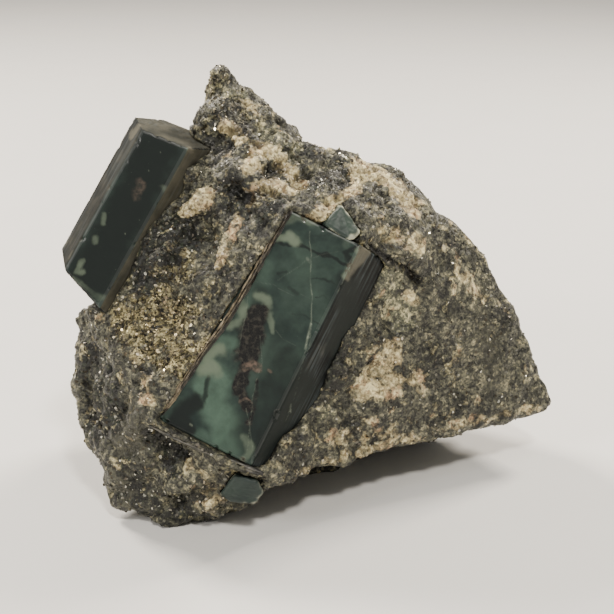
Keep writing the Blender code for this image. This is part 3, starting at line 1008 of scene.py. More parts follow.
@dataclass
class Matrix:
    """The lump of mica schist that holds the crystals."""

    crystals: list[Crystal]
    patches: tuple[Patch, ...]
    dents: tuple[Dent, ...]
    finish: SchistFinish = field(default_factory=SchistFinish)
    node: str = "matrix_rock"
    piece: str = "matrix"
    voxel: float = 0.89
    base_height: float = 1.2
    most_relief: float = 1.7
    crag: Spot = (107.0, 114.0)
    far_patches: tuple[FarPatches, ...] = (
        FarPatches(Mineral.FELDSPAR, 26.0, 31.0, 0.12, 0.8),
        FarPatches(Mineral.GOLD_MICA, 30.0, 47.0, 0.10, 0.6),
        FarPatches(Mineral.DARK_MICA_AND_SHADE, 22.0, 63.0, 0.10, 0.7),
    )

    def skin(self) -> bpy.types.Object:
        """The node's shape with an even, fine skin."""
        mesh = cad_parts[self.node].data.copy()
        merge_doubles(mesh)
        block = new_object(self.piece, mesh)
        remesh = block.modifiers.new("skin", "REMESH")
        remesh.mode = "VOXEL"
        remesh.voxel_size = self.voxel * MM
        soften = block.modifiers.new("soften", "SMOOTH")
        soften.factor = 0.5
        soften.iterations = 3
        piece = settled(block, self.piece)
        sort_by_place(piece.data)
        return piece

    def minerals(self, points: np.ndarray, ragged: np.ndarray) -> dict[Mineral, np.ndarray]:
        """The share of each mineral at each point.

        Args:
            points: The rock's points, in millimetres.
            ragged: Noise that breaks up the patches' outlines.

        Returns:
            One array for each mineral, between 0 and 1.
        """
        shares = {}
        for mineral in Mineral:
            values = np.zeros(len(points))
            for patch in self.patches:
                if patch.mineral is mineral:
                    gap = distance_to_line(points, patch.line) / patch.width + ragged * 0.45
                    values = np.maximum(values, patch.strength * (1.0 - smooth_step(gap, 0.45, 1.25)))
            shares[mineral] = values
        hidden = smooth_step(points[:, 1] - 0.15 * points[:, 0], 17.0, 26.0)
        for far in self.far_patches:
            patchy = rough_noise(points, far.size, 3, far.offset)
            strength = smooth_step(patchy, far.low, far.low + 0.30) * hidden * far.strength
            shares[far.mineral] = np.maximum(shares[far.mineral], strength)
        return shares

    def relief(self, points: np.ndarray, shares: dict[Mineral, np.ndarray]) -> np.ndarray:
        """How far each point is raised, in millimetres.

        Args:
            points: The rock's points, in millimetres.
            shares: The minerals' shares, which set how rough the rock is.

        Returns:
            One height for each point.
        """
        calm = 1.0 - 0.80 * shares[Mineral.COMPACT]
        lumps = rough_noise(points, 7.0, 3, 3.0)
        crumbs = rough_noise(points, 2.0, 3, 8.0)
        slabs = grain_noise(points, 9.5, 14.0)
        blocks = grain_noise(points, 4.6, 4.0)
        grains = grain_noise(points, 2.3)
        rows = rough_noise(points * np.array((1.0, 1.0, 0.12)), 1.5, 3, 12.0)
        broken = 0.45 + 0.55 * np.maximum(shares[Mineral.GRANULAR], shares[Mineral.FELDSPAR])
        height = 0.55 * lumps + 0.26 * crumbs
        height += broken * (5.5 * slabs.slants + 3.8 * blocks.slants + 1.2 * grains.slants)
        height += broken * 0.35 * (grains.rounds - 0.35)
        height += broken * 0.8 * (smooth_step(blocks.rounds, 0.0, 0.14) - 1.0)
        height -= 0.9 * smooth_step(rough_noise(points, 3.8, 2, 40.0), 0.24, 0.60) * (0.3 + 0.7 * broken)
        height += 0.35
        height = height * calm + 0.35 * rows * shares[Mineral.FIBRE]
        height = self.most_relief * np.tanh(height / self.most_relief)
        for dent in self.dents:
            gap = distance_to_line(points, dent.line) / dent.width + 0.35 * crumbs
            height -= dent.depth * (1.0 - smooth_step(gap, 0.30, 1.15))
        return height

    def store_rates(self, mesh: bpy.types.Mesh) -> None:
        """Keeps on each point how thickly mica flakes and crumbs of mineral lie there.

        Args:
            mesh: The finished shape of the rock, with its minerals' shares.
        """
        shares = {mineral: stored(mesh, mineral.value) for mineral in Mineral}
        points = coordinates(mesh)
        free = smooth_step(points[:, 2], 1.5, 4.0)
        for crystal in self.crystals:
            free *= smooth_step(crystal.outside(points), 0.9, 2.2)
        glitter = 0.12 + shares[Mineral.GOLD_MICA] + 0.20 * shares[Mineral.DARK_MICA_AND_SHADE]
        glitter = glitter * (1.0 - 0.9 * shares[Mineral.FELDSPAR]) * free
        crumble = 0.12 + 0.7 * shares[Mineral.GRANULAR] + 0.6 * shares[Mineral.FELDSPAR]
        crumble = crumble * (1.0 - 0.7 * shares[Mineral.COMPACT]) * free
        store(mesh, "glitter", glitter)
        store(mesh, "crumble", crumble)

    def build(self) -> bpy.types.Object:
        """Builds, roughens and dresses the rock.

        Returns:
            The finished piece.
        """
        piece = self.skin()
        mesh = piece.data
        points = coordinates(mesh)
        facing = directions(mesh)
        ragged = rough_noise(points, 7.0, 4, 20.0)
        shares = self.minerals(points, ragged)
        height = self.relief(points, shares)
        free = smooth_step(points[:, 2], 0.15, self.base_height)
        free *= 1.0 - 0.5 * smooth_step(points[:, 2], *self.crag)
        for crystal in self.crystals:
            free *= smooth_step(crystal.outside(points), 0.7, 2.6)
        moved = points + facing * (height * free)[:, None]
        moved[:, 2] = np.maximum(moved[:, 2], np.minimum(points[:, 2], self.base_height))
        move_points(mesh, moved)
        for mineral, values in shares.items():
            store(mesh, mineral.value, values)
        store(mesh, "relief", height)
        self.store_rates(mesh)
        mesh.shade_smooth()
        mesh.materials.clear()
        mesh.materials.append(self.finish.material())
        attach(piece, BODY)
        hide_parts(self.node)
        return piece


@dataclass
class Scatter:
    """Small pieces strewn over the rock by a Geometry Nodes tree."""

    piece: str
    density_name: str
    density: float
    smallest: float
    largest: float
    stretch: Point
    lift: float
    tilt: float
    seed: int
    material: bpy.types.Material
    plates: bool

    def tree(self) -> bpy.types.NodeTree:
        """Builds the Geometry Nodes tree, with named inputs for its sizes."""
        tree = bpy.data.node_groups.new(self.piece + "_tree", "GeometryNodeTree")
        tree.interface.new_socket("Geometry", in_out="INPUT", socket_type="NodeSocketGeometry")
        for name in ("Density", "Smallest", "Largest", "Tilt", "Lift"):
            tree.interface.new_socket(name, in_out="INPUT", socket_type="NodeSocketFloat")
        tree.interface.new_socket("Seed", in_out="INPUT", socket_type="NodeSocketInt")
        tree.interface.new_socket("Material", in_out="INPUT", socket_type="NodeSocketMaterial")
        tree.interface.new_socket("Geometry", in_out="OUTPUT", socket_type="NodeSocketGeometry")

        def node(kind: str, inputs: dict, **settings: object) -> bpy.types.Node:
            """Adds a node to the tree."""
            return add_node(tree, kind, inputs, **settings)

        given = node("NodeGroupInput", {})
        share = node("GeometryNodeInputNamedAttribute", {"Name": self.density_name}, data_type="FLOAT")
        factors = {0: given.outputs["Density"], 1: share.outputs[0]}
        rate = node("ShaderNodeMath", factors, operation="MULTIPLY")
        strewn = node(
            "GeometryNodeDistributePointsOnFaces",
            {"Mesh": given.outputs["Geometry"], "Density": rate.outputs[0], "Seed": given.outputs["Seed"]},
            distribute_method="RANDOM",
        )
        rise = node("ShaderNodeVectorMath", {0: strewn.outputs["Normal"]}, operation="SCALE")
        tree.links.new(given.outputs["Lift"], rise.inputs["Scale"])
        lifted = node(
            "GeometryNodeSetPosition",
            {"Geometry": strewn.outputs["Points"], "Offset": rise.outputs[0]},
        )
        if self.plates:
            shape = node(
                "GeometryNodeMeshCylinder",
                {"Vertices": 6, "Radius": 1.0, "Depth": 0.22},
                fill_type="NGON",
            )
        else:
            shape = node("GeometryNodeMeshIcoSphere", {"Radius": 1.0, "Subdivisions": 1})
        seed = given.outputs["Seed"]
        low = node("ShaderNodeMath", {0: given.outputs["Tilt"], 1: -1.0}, operation="MULTIPLY")
        lows = node("ShaderNodeCombineXYZ", {0: low.outputs[0], 1: low.outputs[0], 2: -math.pi})
        highs = node("ShaderNodeCombineXYZ", {0: given.outputs["Tilt"], 1: given.outputs["Tilt"], 2: math.pi})
        turn = node(
            "FunctionNodeRandomValue",
            {0: lows.outputs[0], 1: highs.outputs[0], "Seed": seed},
            data_type="FLOAT_VECTOR",
        )
        laid = node(
            "FunctionNodeRotateRotation",
            {0: strewn.outputs["Rotation"], 1: turn.outputs[0]},
            rotation_space="LOCAL",
        )
        size = node(
            "FunctionNodeRandomValue",
            {2: given.outputs["Smallest"], 3: given.outputs["Largest"], "Seed": seed},
            data_type="FLOAT",
        )
        spread = node(
            "FunctionNodeRandomValue",
            {0: (0.7, 0.6, 0.5), 1: self.stretch, "Seed": 7},
            data_type="FLOAT_VECTOR",
        )
        scale = node("ShaderNodeVectorMath", {0: spread.outputs[0]}, operation="SCALE")
        tree.links.new(size.outputs[1], scale.inputs["Scale"])
        copies = node(
            "GeometryNodeInstanceOnPoints",
            {
                "Points": lifted.outputs[0],
                "Instance": shape.outputs[0],
                "Rotation": laid.outputs[0],
                "Scale": scale.outputs[0],
            },
        )
        tone = node("FunctionNodeRandomValue", {2: 0.0, 3: 1.0, "Seed": 11}, data_type="FLOAT")
        toned = node(
            "GeometryNodeStoreNamedAttribute",
            {"Geometry": copies.outputs[0], "Name": "tone", "Value": tone.outputs[1]},
            data_type="FLOAT",
            domain="INSTANCE",
        )
        real = node("GeometryNodeRealizeInstances", {"Geometry": toned.outputs[0]})
        dressed = node(
            "GeometryNodeSetMaterial",
            {"Geometry": real.outputs[0], "Material": given.outputs["Material"]},
        )
        node("NodeGroupOutput", {"Geometry": dressed.outputs[0]})
        return tree

    def build(self, ground: bpy.types.Object) -> bpy.types.Object:
        """Strews the pieces over the rock.

        Args:
            ground: The rock, whose attributes say how thickly they lie.

        Returns:
            The finished piece.
        """
        carrier = new_object(self.piece, ground.data.copy())
        modifier = carrier.modifiers.new("strewn", "NODES")
        tree = self.tree()
        modifier.node_group = tree
        values = {
            "Density": self.density,
            "Smallest": self.smallest * MM,
            "Largest": self.largest * MM,
            "Tilt": self.tilt,
            "Lift": self.lift * MM,
            "Seed": self.seed,
            "Material": self.material,
        }
        for item in tree.interface.items_tree:
            if item.item_type == "SOCKET" and item.in_out == "INPUT" and item.name in values:
                modifier[item.identifier] = values[item.name]
        piece = settled(carrier, self.piece)
        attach(piece, BODY)
        return piece


@dataclass
class MicaSheets:
    """The sharp mica edges that stand up beside the front crystal."""

    crystal: Crystal
    piece: str
    finish: EdgeFinish
    line: tuple[Spot, ...]
    profile: tuple[Spot, ...]
    step: float = 0.5
    pale_run: Spot = (0.0, 0.0)
    wander: float = 0.30
    taper: float = 4.0
    shake_length: float = 2.2
    lift_length: float = 3.5
    fade: float = 1.5

    def route(self) -> np.ndarray:
        """The line cut into even steps."""
        corners = np.array(self.line)
        runs = np.linalg.norm(np.diff(corners, axis=0), axis=1)
        lengths = np.concatenate(([0.0], np.cumsum(runs)))
        places = np.linspace(0.0, lengths[-1], int(lengths[-1] / self.step) + 1)
        return np.stack([np.interp(places, lengths, corners[:, axis]) for axis in (0, 1)], axis=1)

    def build(self) -> bpy.types.Object:
        """Builds and dresses the edge.

        Returns:
            The finished piece.
        """
        route = self.route()
        ahead = np.gradient(route, axis=0)
        ahead /= np.linalg.norm(ahead, axis=1)[:, None]
        sides = np.stack([ahead[:, 1], -ahead[:, 0]], axis=1)
        lengths = np.concatenate(([0.0], np.cumsum(np.linalg.norm(np.diff(route, axis=0), axis=1))))
        shape = bmesh.new()
        rings = []
        frame_ways = [np.array(way) for way in (self.crystal.right, self.crystal.up, self.crystal.inward)]
        middle = np.array(self.crystal.middle)
        for index, (spot, side) in enumerate(zip(route, sides)):
            ends = min(lengths[index], lengths[-1] - lengths[index])
            full = 0.25 + 0.75 * float(smooth_step(np.array([ends]), 0.0, self.taper)[0])
            ring = []
            for number, (out, high) in enumerate(self.profile):
                far = lengths[index]
                shake = noise.noise(Vector((far / self.shake_length, number * 3.7, 0.0))) * self.wander
                lift = noise.noise(Vector((far / self.lift_length, number * 5.1, 9.0))) * self.wander * 1.6
                place = spot + side * (out * (0.6 + 0.4 * full) + shake)
                raised = high * full + (lift if high > 0 else 0.0)
                point = middle + frame_ways[0] * place[0] + frame_ways[1] * place[1] - frame_ways[2] * raised
                ring.append(shape.verts.new(Vector(point) * MM))
            rings.append(ring)
        count = len(self.profile)
        for near, far in zip(rings, rings[1:]):
            for i in range(count):
                j = (i + 1) % count
                shape.faces.new((near[i], near[j], far[j], far[i]))
        shape.faces.new(rings[0])
        shape.faces.new(rings[-1])
        bmesh.ops.recalc_face_normals(shape, faces=shape.faces)
        mesh = bpy.data.meshes.new(self.piece)
        shape.to_mesh(mesh)
        shape.free()
        points = coordinates(mesh)
        above = -(points - middle) @ frame_ways[2]
        along = np.repeat(lengths, count)
        pale = np.zeros(len(points))
        if self.pale_run[1] > self.pale_run[0]:
            start, end = self.pale_run
            pale = smooth_step(along, start - self.fade, start)
            pale *= 1.0 - smooth_step(along, end, end + self.fade)
        # Painted highlight: lighter with height above the polished face, plus a paler stretch along the pale
        # run.
        store(mesh, "ridge_highlight_and_pale_run", smooth_step(above, 0.9, 1.9) + 1.6 * pale)
        piece = new_object(self.piece, mesh)
        mesh.materials.append(self.finish.material())
        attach(piece, BODY)
        return piece


@dataclass
class Studio:
    """The plain floor, the soft lights and the camera."""

    target: Point = (-3.12, 3.73, 55.0)
    distance: float = 400.0
    tilt: float = 20.0
    lens: float = 76.0
    floor_half: float = 3000.0
    back_light: Colour = (1.0, 0.91, 0.78)

    def floor(self) -> None:
        """Lays the pale floor, just under the rock."""
        half = self.floor_half * MM
        mesh = bpy.data.meshes.new("floor")
        corners = [(-half, -half, 0.0), (half, -half, 0.0), (half, half, 0.0), (-half, half, 0.0)]
        mesh.from_pydata(corners, [], [(0, 1, 2, 3)])
        mesh.materials.append(FloorFinish().material())
        new_object("floor", mesh)

    def lamp(self, name: str, place: Point, size: float, power: float, colour: Colour) -> None:
        """Hangs one soft square lamp that faces the specimen.

        Args:
            name: The lamp's name.
            place: Where it hangs, in millimetres.
            size: Its side, in millimetres.
            power: Its power in watts.
            colour: Its colour.
        """
        light = bpy.data.lights.new(name, "AREA")
        light.shape = "SQUARE"
        light.size = size * MM
        light.energy = power
        light.color = colour
        lamp = bpy.data.objects.new(name, light)
        lamp.location = Vector(place) * MM
        aim = Vector(self.target) * MM - lamp.location
        lamp.rotation_euler = aim.to_track_quat("-Z", "Y").to_euler()
        bpy.context.scene.collection.objects.link(lamp)

    def camera(self) -> None:
        """Sets the camera at the photograph's angle."""
        data = bpy.data.cameras.new("camera")
        data.lens = self.lens
        data.sensor_width = 36.0
        eye = bpy.data.objects.new("camera", data)
        tilt = math.radians(self.tilt)
        aim = Vector(self.target)
        eye.location = (aim + Vector((0.0, -math.cos(tilt), math.sin(tilt))) * self.distance) * MM
        eye.rotation_euler = (math.pi / 2 - tilt, 0.0, 0.0)
        bpy.context.scene.collection.objects.link(eye)
        bpy.context.scene.camera = eye

    def air(self) -> None:
        """Fills the room with even, slightly warm light."""
        world = bpy.data.worlds.new("studio")
        world.use_nodes = True
        background = world.node_tree.nodes["Background"]
        background.inputs["Color"].default_value = (1.0, 0.97, 0.92, 1.0)
        background.inputs["Strength"].default_value = 0.30
        bpy.context.scene.world = world

    def build(self) -> None:
        """Sets up the whole studio."""
        self.floor()
        self.air()
        self.lamp("back_left", (-700.0, 600.0, 900.0), 320.0, 24.0, self.back_light)
        self.lamp("back_right", (600.0, 500.0, 800.0), 280.0, 16.0, self.back_light)
        self.lamp("front_top", (150.0, -650.0, 950.0), 120.0, 9.0, (1.0, 0.95, 0.86))
        self.lamp("front_left", (-600.0, -500.0, 500.0), 220.0, 2.5, (1.0, 0.96, 0.90))
        self.camera()


# Each stroke runs across and along its crystal's polished face, in millimetres.
FRONT_STROKES = (
    Stroke(
        Mark.VEIL,
        0.45,
        0.6,
        ((-1.7, 31.0), (1.2, 25.8), (3.8, 20.5), (7.3, 14.0), (10.2, 7.8), (12.5, 2.5)),
    ),
    Stroke(Mark.VEIL, 0.8, 0.9, ((10.2, 7.8), (10.8, 4.8), (11.5, 2.0), (11.7, 1.0))),
    Stroke(Mark.VEIL, 0.35, 0.55, ((12.8, 19.0), (12.8, 25.6), (13.1, 29.5), (12.5, 33.1))),
    Stroke(Mark.VEIL, 0.45, 0.4, ((-3.7, 14.6), (-0.8, 19.9), (1.2, 23.6), (3.8, 26.6), (8.1, 29.5))),
    Stroke(Mark.VEIL, 1.2, 0.5, ((0.9, 23.9), (1.9, 23.5))),
    Stroke(Mark.VEIL, 0.3, 0.4, ((-9.3, 11.5), (-4.6, 13.1), (-1.2, 12.8), (2.6, 13.0))),
    Stroke(Mark.VEIL, 0.3, 0.35, ((3.7, 14.1), (7.1, 13.9))),
    Stroke(Mark.VEIL, 0.4, 0.5, ((-9.2, 6.9), (-7.2, 1.3), (-5.9, -3.6), (-5.3, -6.4))),
    Stroke(Mark.VEIL, 0.35, 0.4, ((0.5, 2.9), (4.9, 0.7), (8.8, 0.6))),
    Stroke(
        Mark.VEIL,
        0.35,
        0.5,
        ((-1.2, -1.5), (2.7, -8.1), (3.2, -12.8), (4.6, -18.2), (5.8, -20.6), (7.3, -24.8), (11.7, -32.4)),
    ),
    Stroke(Mark.VEIL, 0.3, 0.5, ((4.4, -21.3), (7.8, -25.8), (10.2, -33.1))),
    Stroke(Mark.VEIL, 0.3, 0.5, ((10.5, -29.9), (12.7, -34.4))),
    Stroke(Mark.VEIL, 0.25, 0.4, ((12.3, -0.3), (14.0, -7.4), (15.7, -15.7), (16.1, -20.4))),
    Stroke(Mark.VEIL, 0.5, 0.7, ((15.3, -15.0), (16.2, -17.3))),
    Stroke(Mark.VEIL, 0.8, 0.8, ((-7.7, -32.4), (-7.2, -32.5))),
    Stroke(Mark.CLOUD, 2.2, 0.55, ((-9.2, 30.6), (-6.3, 33.1), (-2.6, 33.3))),
    Stroke(Mark.CLOUD, 1.9, 0.9, ((-8.4, 25.2), (-6.5, 26.9), (-3.5, 26.8))),
    Stroke(Mark.CLOUD, 1.6, 0.35, ((5.8, 33.1), (8.7, 33.9), (9.1, 32.0))),
    Stroke(Mark.CLOUD, 1.8, 0.75, ((13.1, 32.8), (15.4, 33.2), (13.7, 29.3), (13.3, 24.7))),
    Stroke(Mark.CLOUD, 2.0, 0.8, ((-6.8, 8.7), (-4.4, 8.8), (-2.6, 6.3))),
    Stroke(Mark.CLOUD, 1.3, 0.7, ((-1.0, 5.0), (1.4, 1.2))),
    Stroke(Mark.CLOUD, 2.8, 0.85, ((-9.6, -10.0), (-11.8, -14.0), (-8.4, -16.0), (-11.1, -17.6))),
    Stroke(Mark.CLOUD, 1.8, 0.6, ((7.8, -29.4), (10.7, -31.7), (9.8, -34.6))),
    Stroke(Mark.BRIGHT, 4.0, 0.35, ((-8.3, 16.1), (-7.4, 8.9), (-7.0, 4.7))),
    Stroke(Mark.BRIGHT, 6.0, 0.25, ((-2.8, 23.8), (1.8, 16.8), (7.5, 25.1))),
    Stroke(Mark.BRIGHT, 3.0, 0.7, ((-12.3, -7.6), (-4.4, -6.7))),
    Stroke(Mark.BRIGHT, 3.5, 0.9, ((-12.8, -14.0), (-8.5, -16.4), (-9.8, -22.3))),
    Stroke(Mark.BRIGHT, 6.0, 0.9, ((-6.4, -18.1), (-4.5, -24.5), (1.9, -27.5), (3.6, -33.4))),
    Stroke(Mark.BRIGHT, 3.0, 0.6, ((-4.0, -34.1), (1.9, -34.8), (6.3, -33.9))),
    Stroke(Mark.BRIGHT, 5.0, 0.20, ((3.9, 0.5), (9.8, -1.5), (9.3, -7.9))),
    Stroke(Mark.DARK, 8.0, 0.62, ((10.0, -5.0), (8.5, -14.0), (8.5, -28.0))),
    Stroke(Mark.DARK, 4.5, 0.45, ((3.5, 3.0), (5.0, -6.0), (5.5, -14.0))),
    Stroke(Mark.CLOUD, 2.4, 0.70, ((-9.0, 3.6), (-7.4, 0.8), (-9.4, -2.4))),
    Stroke(
        Mark.DARK,
        0.7,
        0.8,
        ((-9.5, 23.5), (-6.2, 24.1), (-2.9, 26.3), (2.4, 26.7), (6.4, 27.3), (11.1, 26.9), (12.8, 27.2)),
    ),
    Stroke(Mark.DARK, 0.6, 0.6, ((-9.8, 30.2), (-7.1, 32.6), (-5.4, 34.5))),
    Stroke(Mark.DARK, 0.45, 0.6, ((4.8, 19.6), (9.5, 21.2), (12.8, 22.3))),
    Stroke(Mark.DARK, 0.45, 0.5, ((7.3, 14.6), (9.6, 16.6), (14.4, 17.0))),
    Stroke(Mark.DARK, 0.5, 0.5, ((4.7, 7.8), (9.7, 8.6), (13.4, 9.1))),
    Stroke(Mark.DARK, 0.45, 0.4, ((-0.5, 30.2), (3.2, 31.6), (6.6, 33.7))),
    Stroke(Mark.DARK, 1.3, 0.8, ((12.2, 33.5), (10.1, 30.0), (13.0, 27.9))),
    Stroke(Mark.DARK, 0.9, 0.6, ((-4.1, 16.6), (-2.9, 18.0))),
    Stroke(Mark.DARK, 1.0, 0.5, ((0.1, 14.3), (3.5, 14.0))),
    Stroke(Mark.DARK, 5.5, 0.75, ((14.6, 22.1), (19.4, 14.6), (19.3, 5.9))),
    Stroke(Mark.DARK, 6.0, 0.85, ((15.7, -8.4), (14.2, -17.7), (13.7, -29.0))),
    Stroke(Mark.DARK, 3.2, 0.95, ((-9.1, -26.2), (-10.8, -30.2), (-12.1, -33.8), (-8.6, -33.3))),
    Stroke(Mark.DARK, 1.2, 0.7, ((-8.4, -18.5), (-7.4, -24.8))),
    Stroke(Mark.DARK, 3.5, 0.45, ((10.0, -14.2), (11.7, -22.6), (11.7, -27.5))),
    Stroke(Mark.BROWN, 4.3, 1.0, ((-4.2, 4.4), (-4.4, 0.5), (-3.3, -4.0))),
    Stroke(Mark.DARK, 3.0, 0.55, ((-6.8, 10.0), (-5.2, 3.4), (-6.0, -1.8))),
    Stroke(Mark.BROWN, 4.4, 1.0, ((-3.4, -0.7), (-2.8, -5.2), (-2.0, -9.3))),
    Stroke(Mark.BROWN, 3.0, 0.95, ((-2.0, -9.3), (-1.0, -14.2), (0.2, -17.2))),
    Stroke(Mark.BROWN, 1.7, 0.85, ((0.2, -14.2), (2.2, -18.2), (5.4, -20.9))),
    Stroke(Mark.BROWN, 1.2, 0.7, ((3.2, -12.8), (5.9, -19.4), (7.3, -24.8))),
    Stroke(Mark.PINK, 1.7, 0.72, ((-1.7, -12.1), (-0.1, -9.8), (2.3, -9.2))),
    Stroke(Mark.PINK, 0.9, 0.6, ((5.7, -8.1), (6.1, -8.3))),
    Stroke(Mark.PINK, 0.7, 0.55, ((2.4, -19.9), (3.6, -18.7), (5.4, -19.0))),
)

SIDE_STROKES = (
    Stroke(Mark.PINK, 2.6, 0.46, ((-1.1, 9.3), (0.6, 8.8), (0.2, 5.8))),
    Stroke(Mark.CLOUD, 1.2, 0.6, ((-5.2, -3.4), (-4.5, -6.5))),
    Stroke(Mark.CLOUD, 1.5, 0.6, ((-4.6, -11.4), (-4.2, -12.6))),
    Stroke(Mark.CLOUD, 1.3, 0.65, ((-4.5, -19.1), (-4.1, -21.7), (-2.2, -21.3))),
    Stroke(Mark.CLOUD, 0.9, 0.6, ((-8.5, -18.2), (-8.3, -19.5))),
    Stroke(Mark.CLOUD, 1.4, 0.45, ((-3.5, -24.1), (2.6, -24.9), (6.4, -25.6))),
    Stroke(Mark.CLOUD, 1.6, 0.45, ((5.7, 10.9), (7.1, 9.6))),
    Stroke(Mark.CLOUD, 1.3, 0.9, ((7.0, 24.6), (8.2, 24.0))),
    Stroke(Mark.CLOUD, 1.3, 0.75, ((-10.8, 19.9), (-9.4, 24.2))),
    Stroke(Mark.BRIGHT, 2.6, 0.25, ((-9.8, 6.0), (-8.7, -4.7), (-8.1, -14.0))),
    Stroke(Mark.DARK, 10.5, 0.95, ((-1.0, 20.0), (0.5, 4.0), (0.0, -22.0))),
    Stroke(Mark.VEIL, 0.3, 0.9, ((0.4, 19.9), (0.5, 19.9))),
    Stroke(Mark.VEIL, 0.3, 0.9, ((2.5, 16.7), (2.6, 16.7))),
    Stroke(Mark.VEIL, 0.3, 0.9, ((-0.2, 13.4), (-0.1, 13.4))),
    Stroke(Mark.VEIL, 0.3, 0.9, ((5.1, 4.6), (5.2, 4.6))),
    Stroke(Mark.VEIL, 0.3, 0.9, ((4.5, -0.5), (4.6, -0.5))),
    Stroke(Mark.VEIL, 0.3, 0.9, ((2.7, -5.9), (2.8, -5.9))),
    Stroke(Mark.VEIL, 0.3, 0.9, ((5.7, -7.0), (5.8, -7.0))),
)

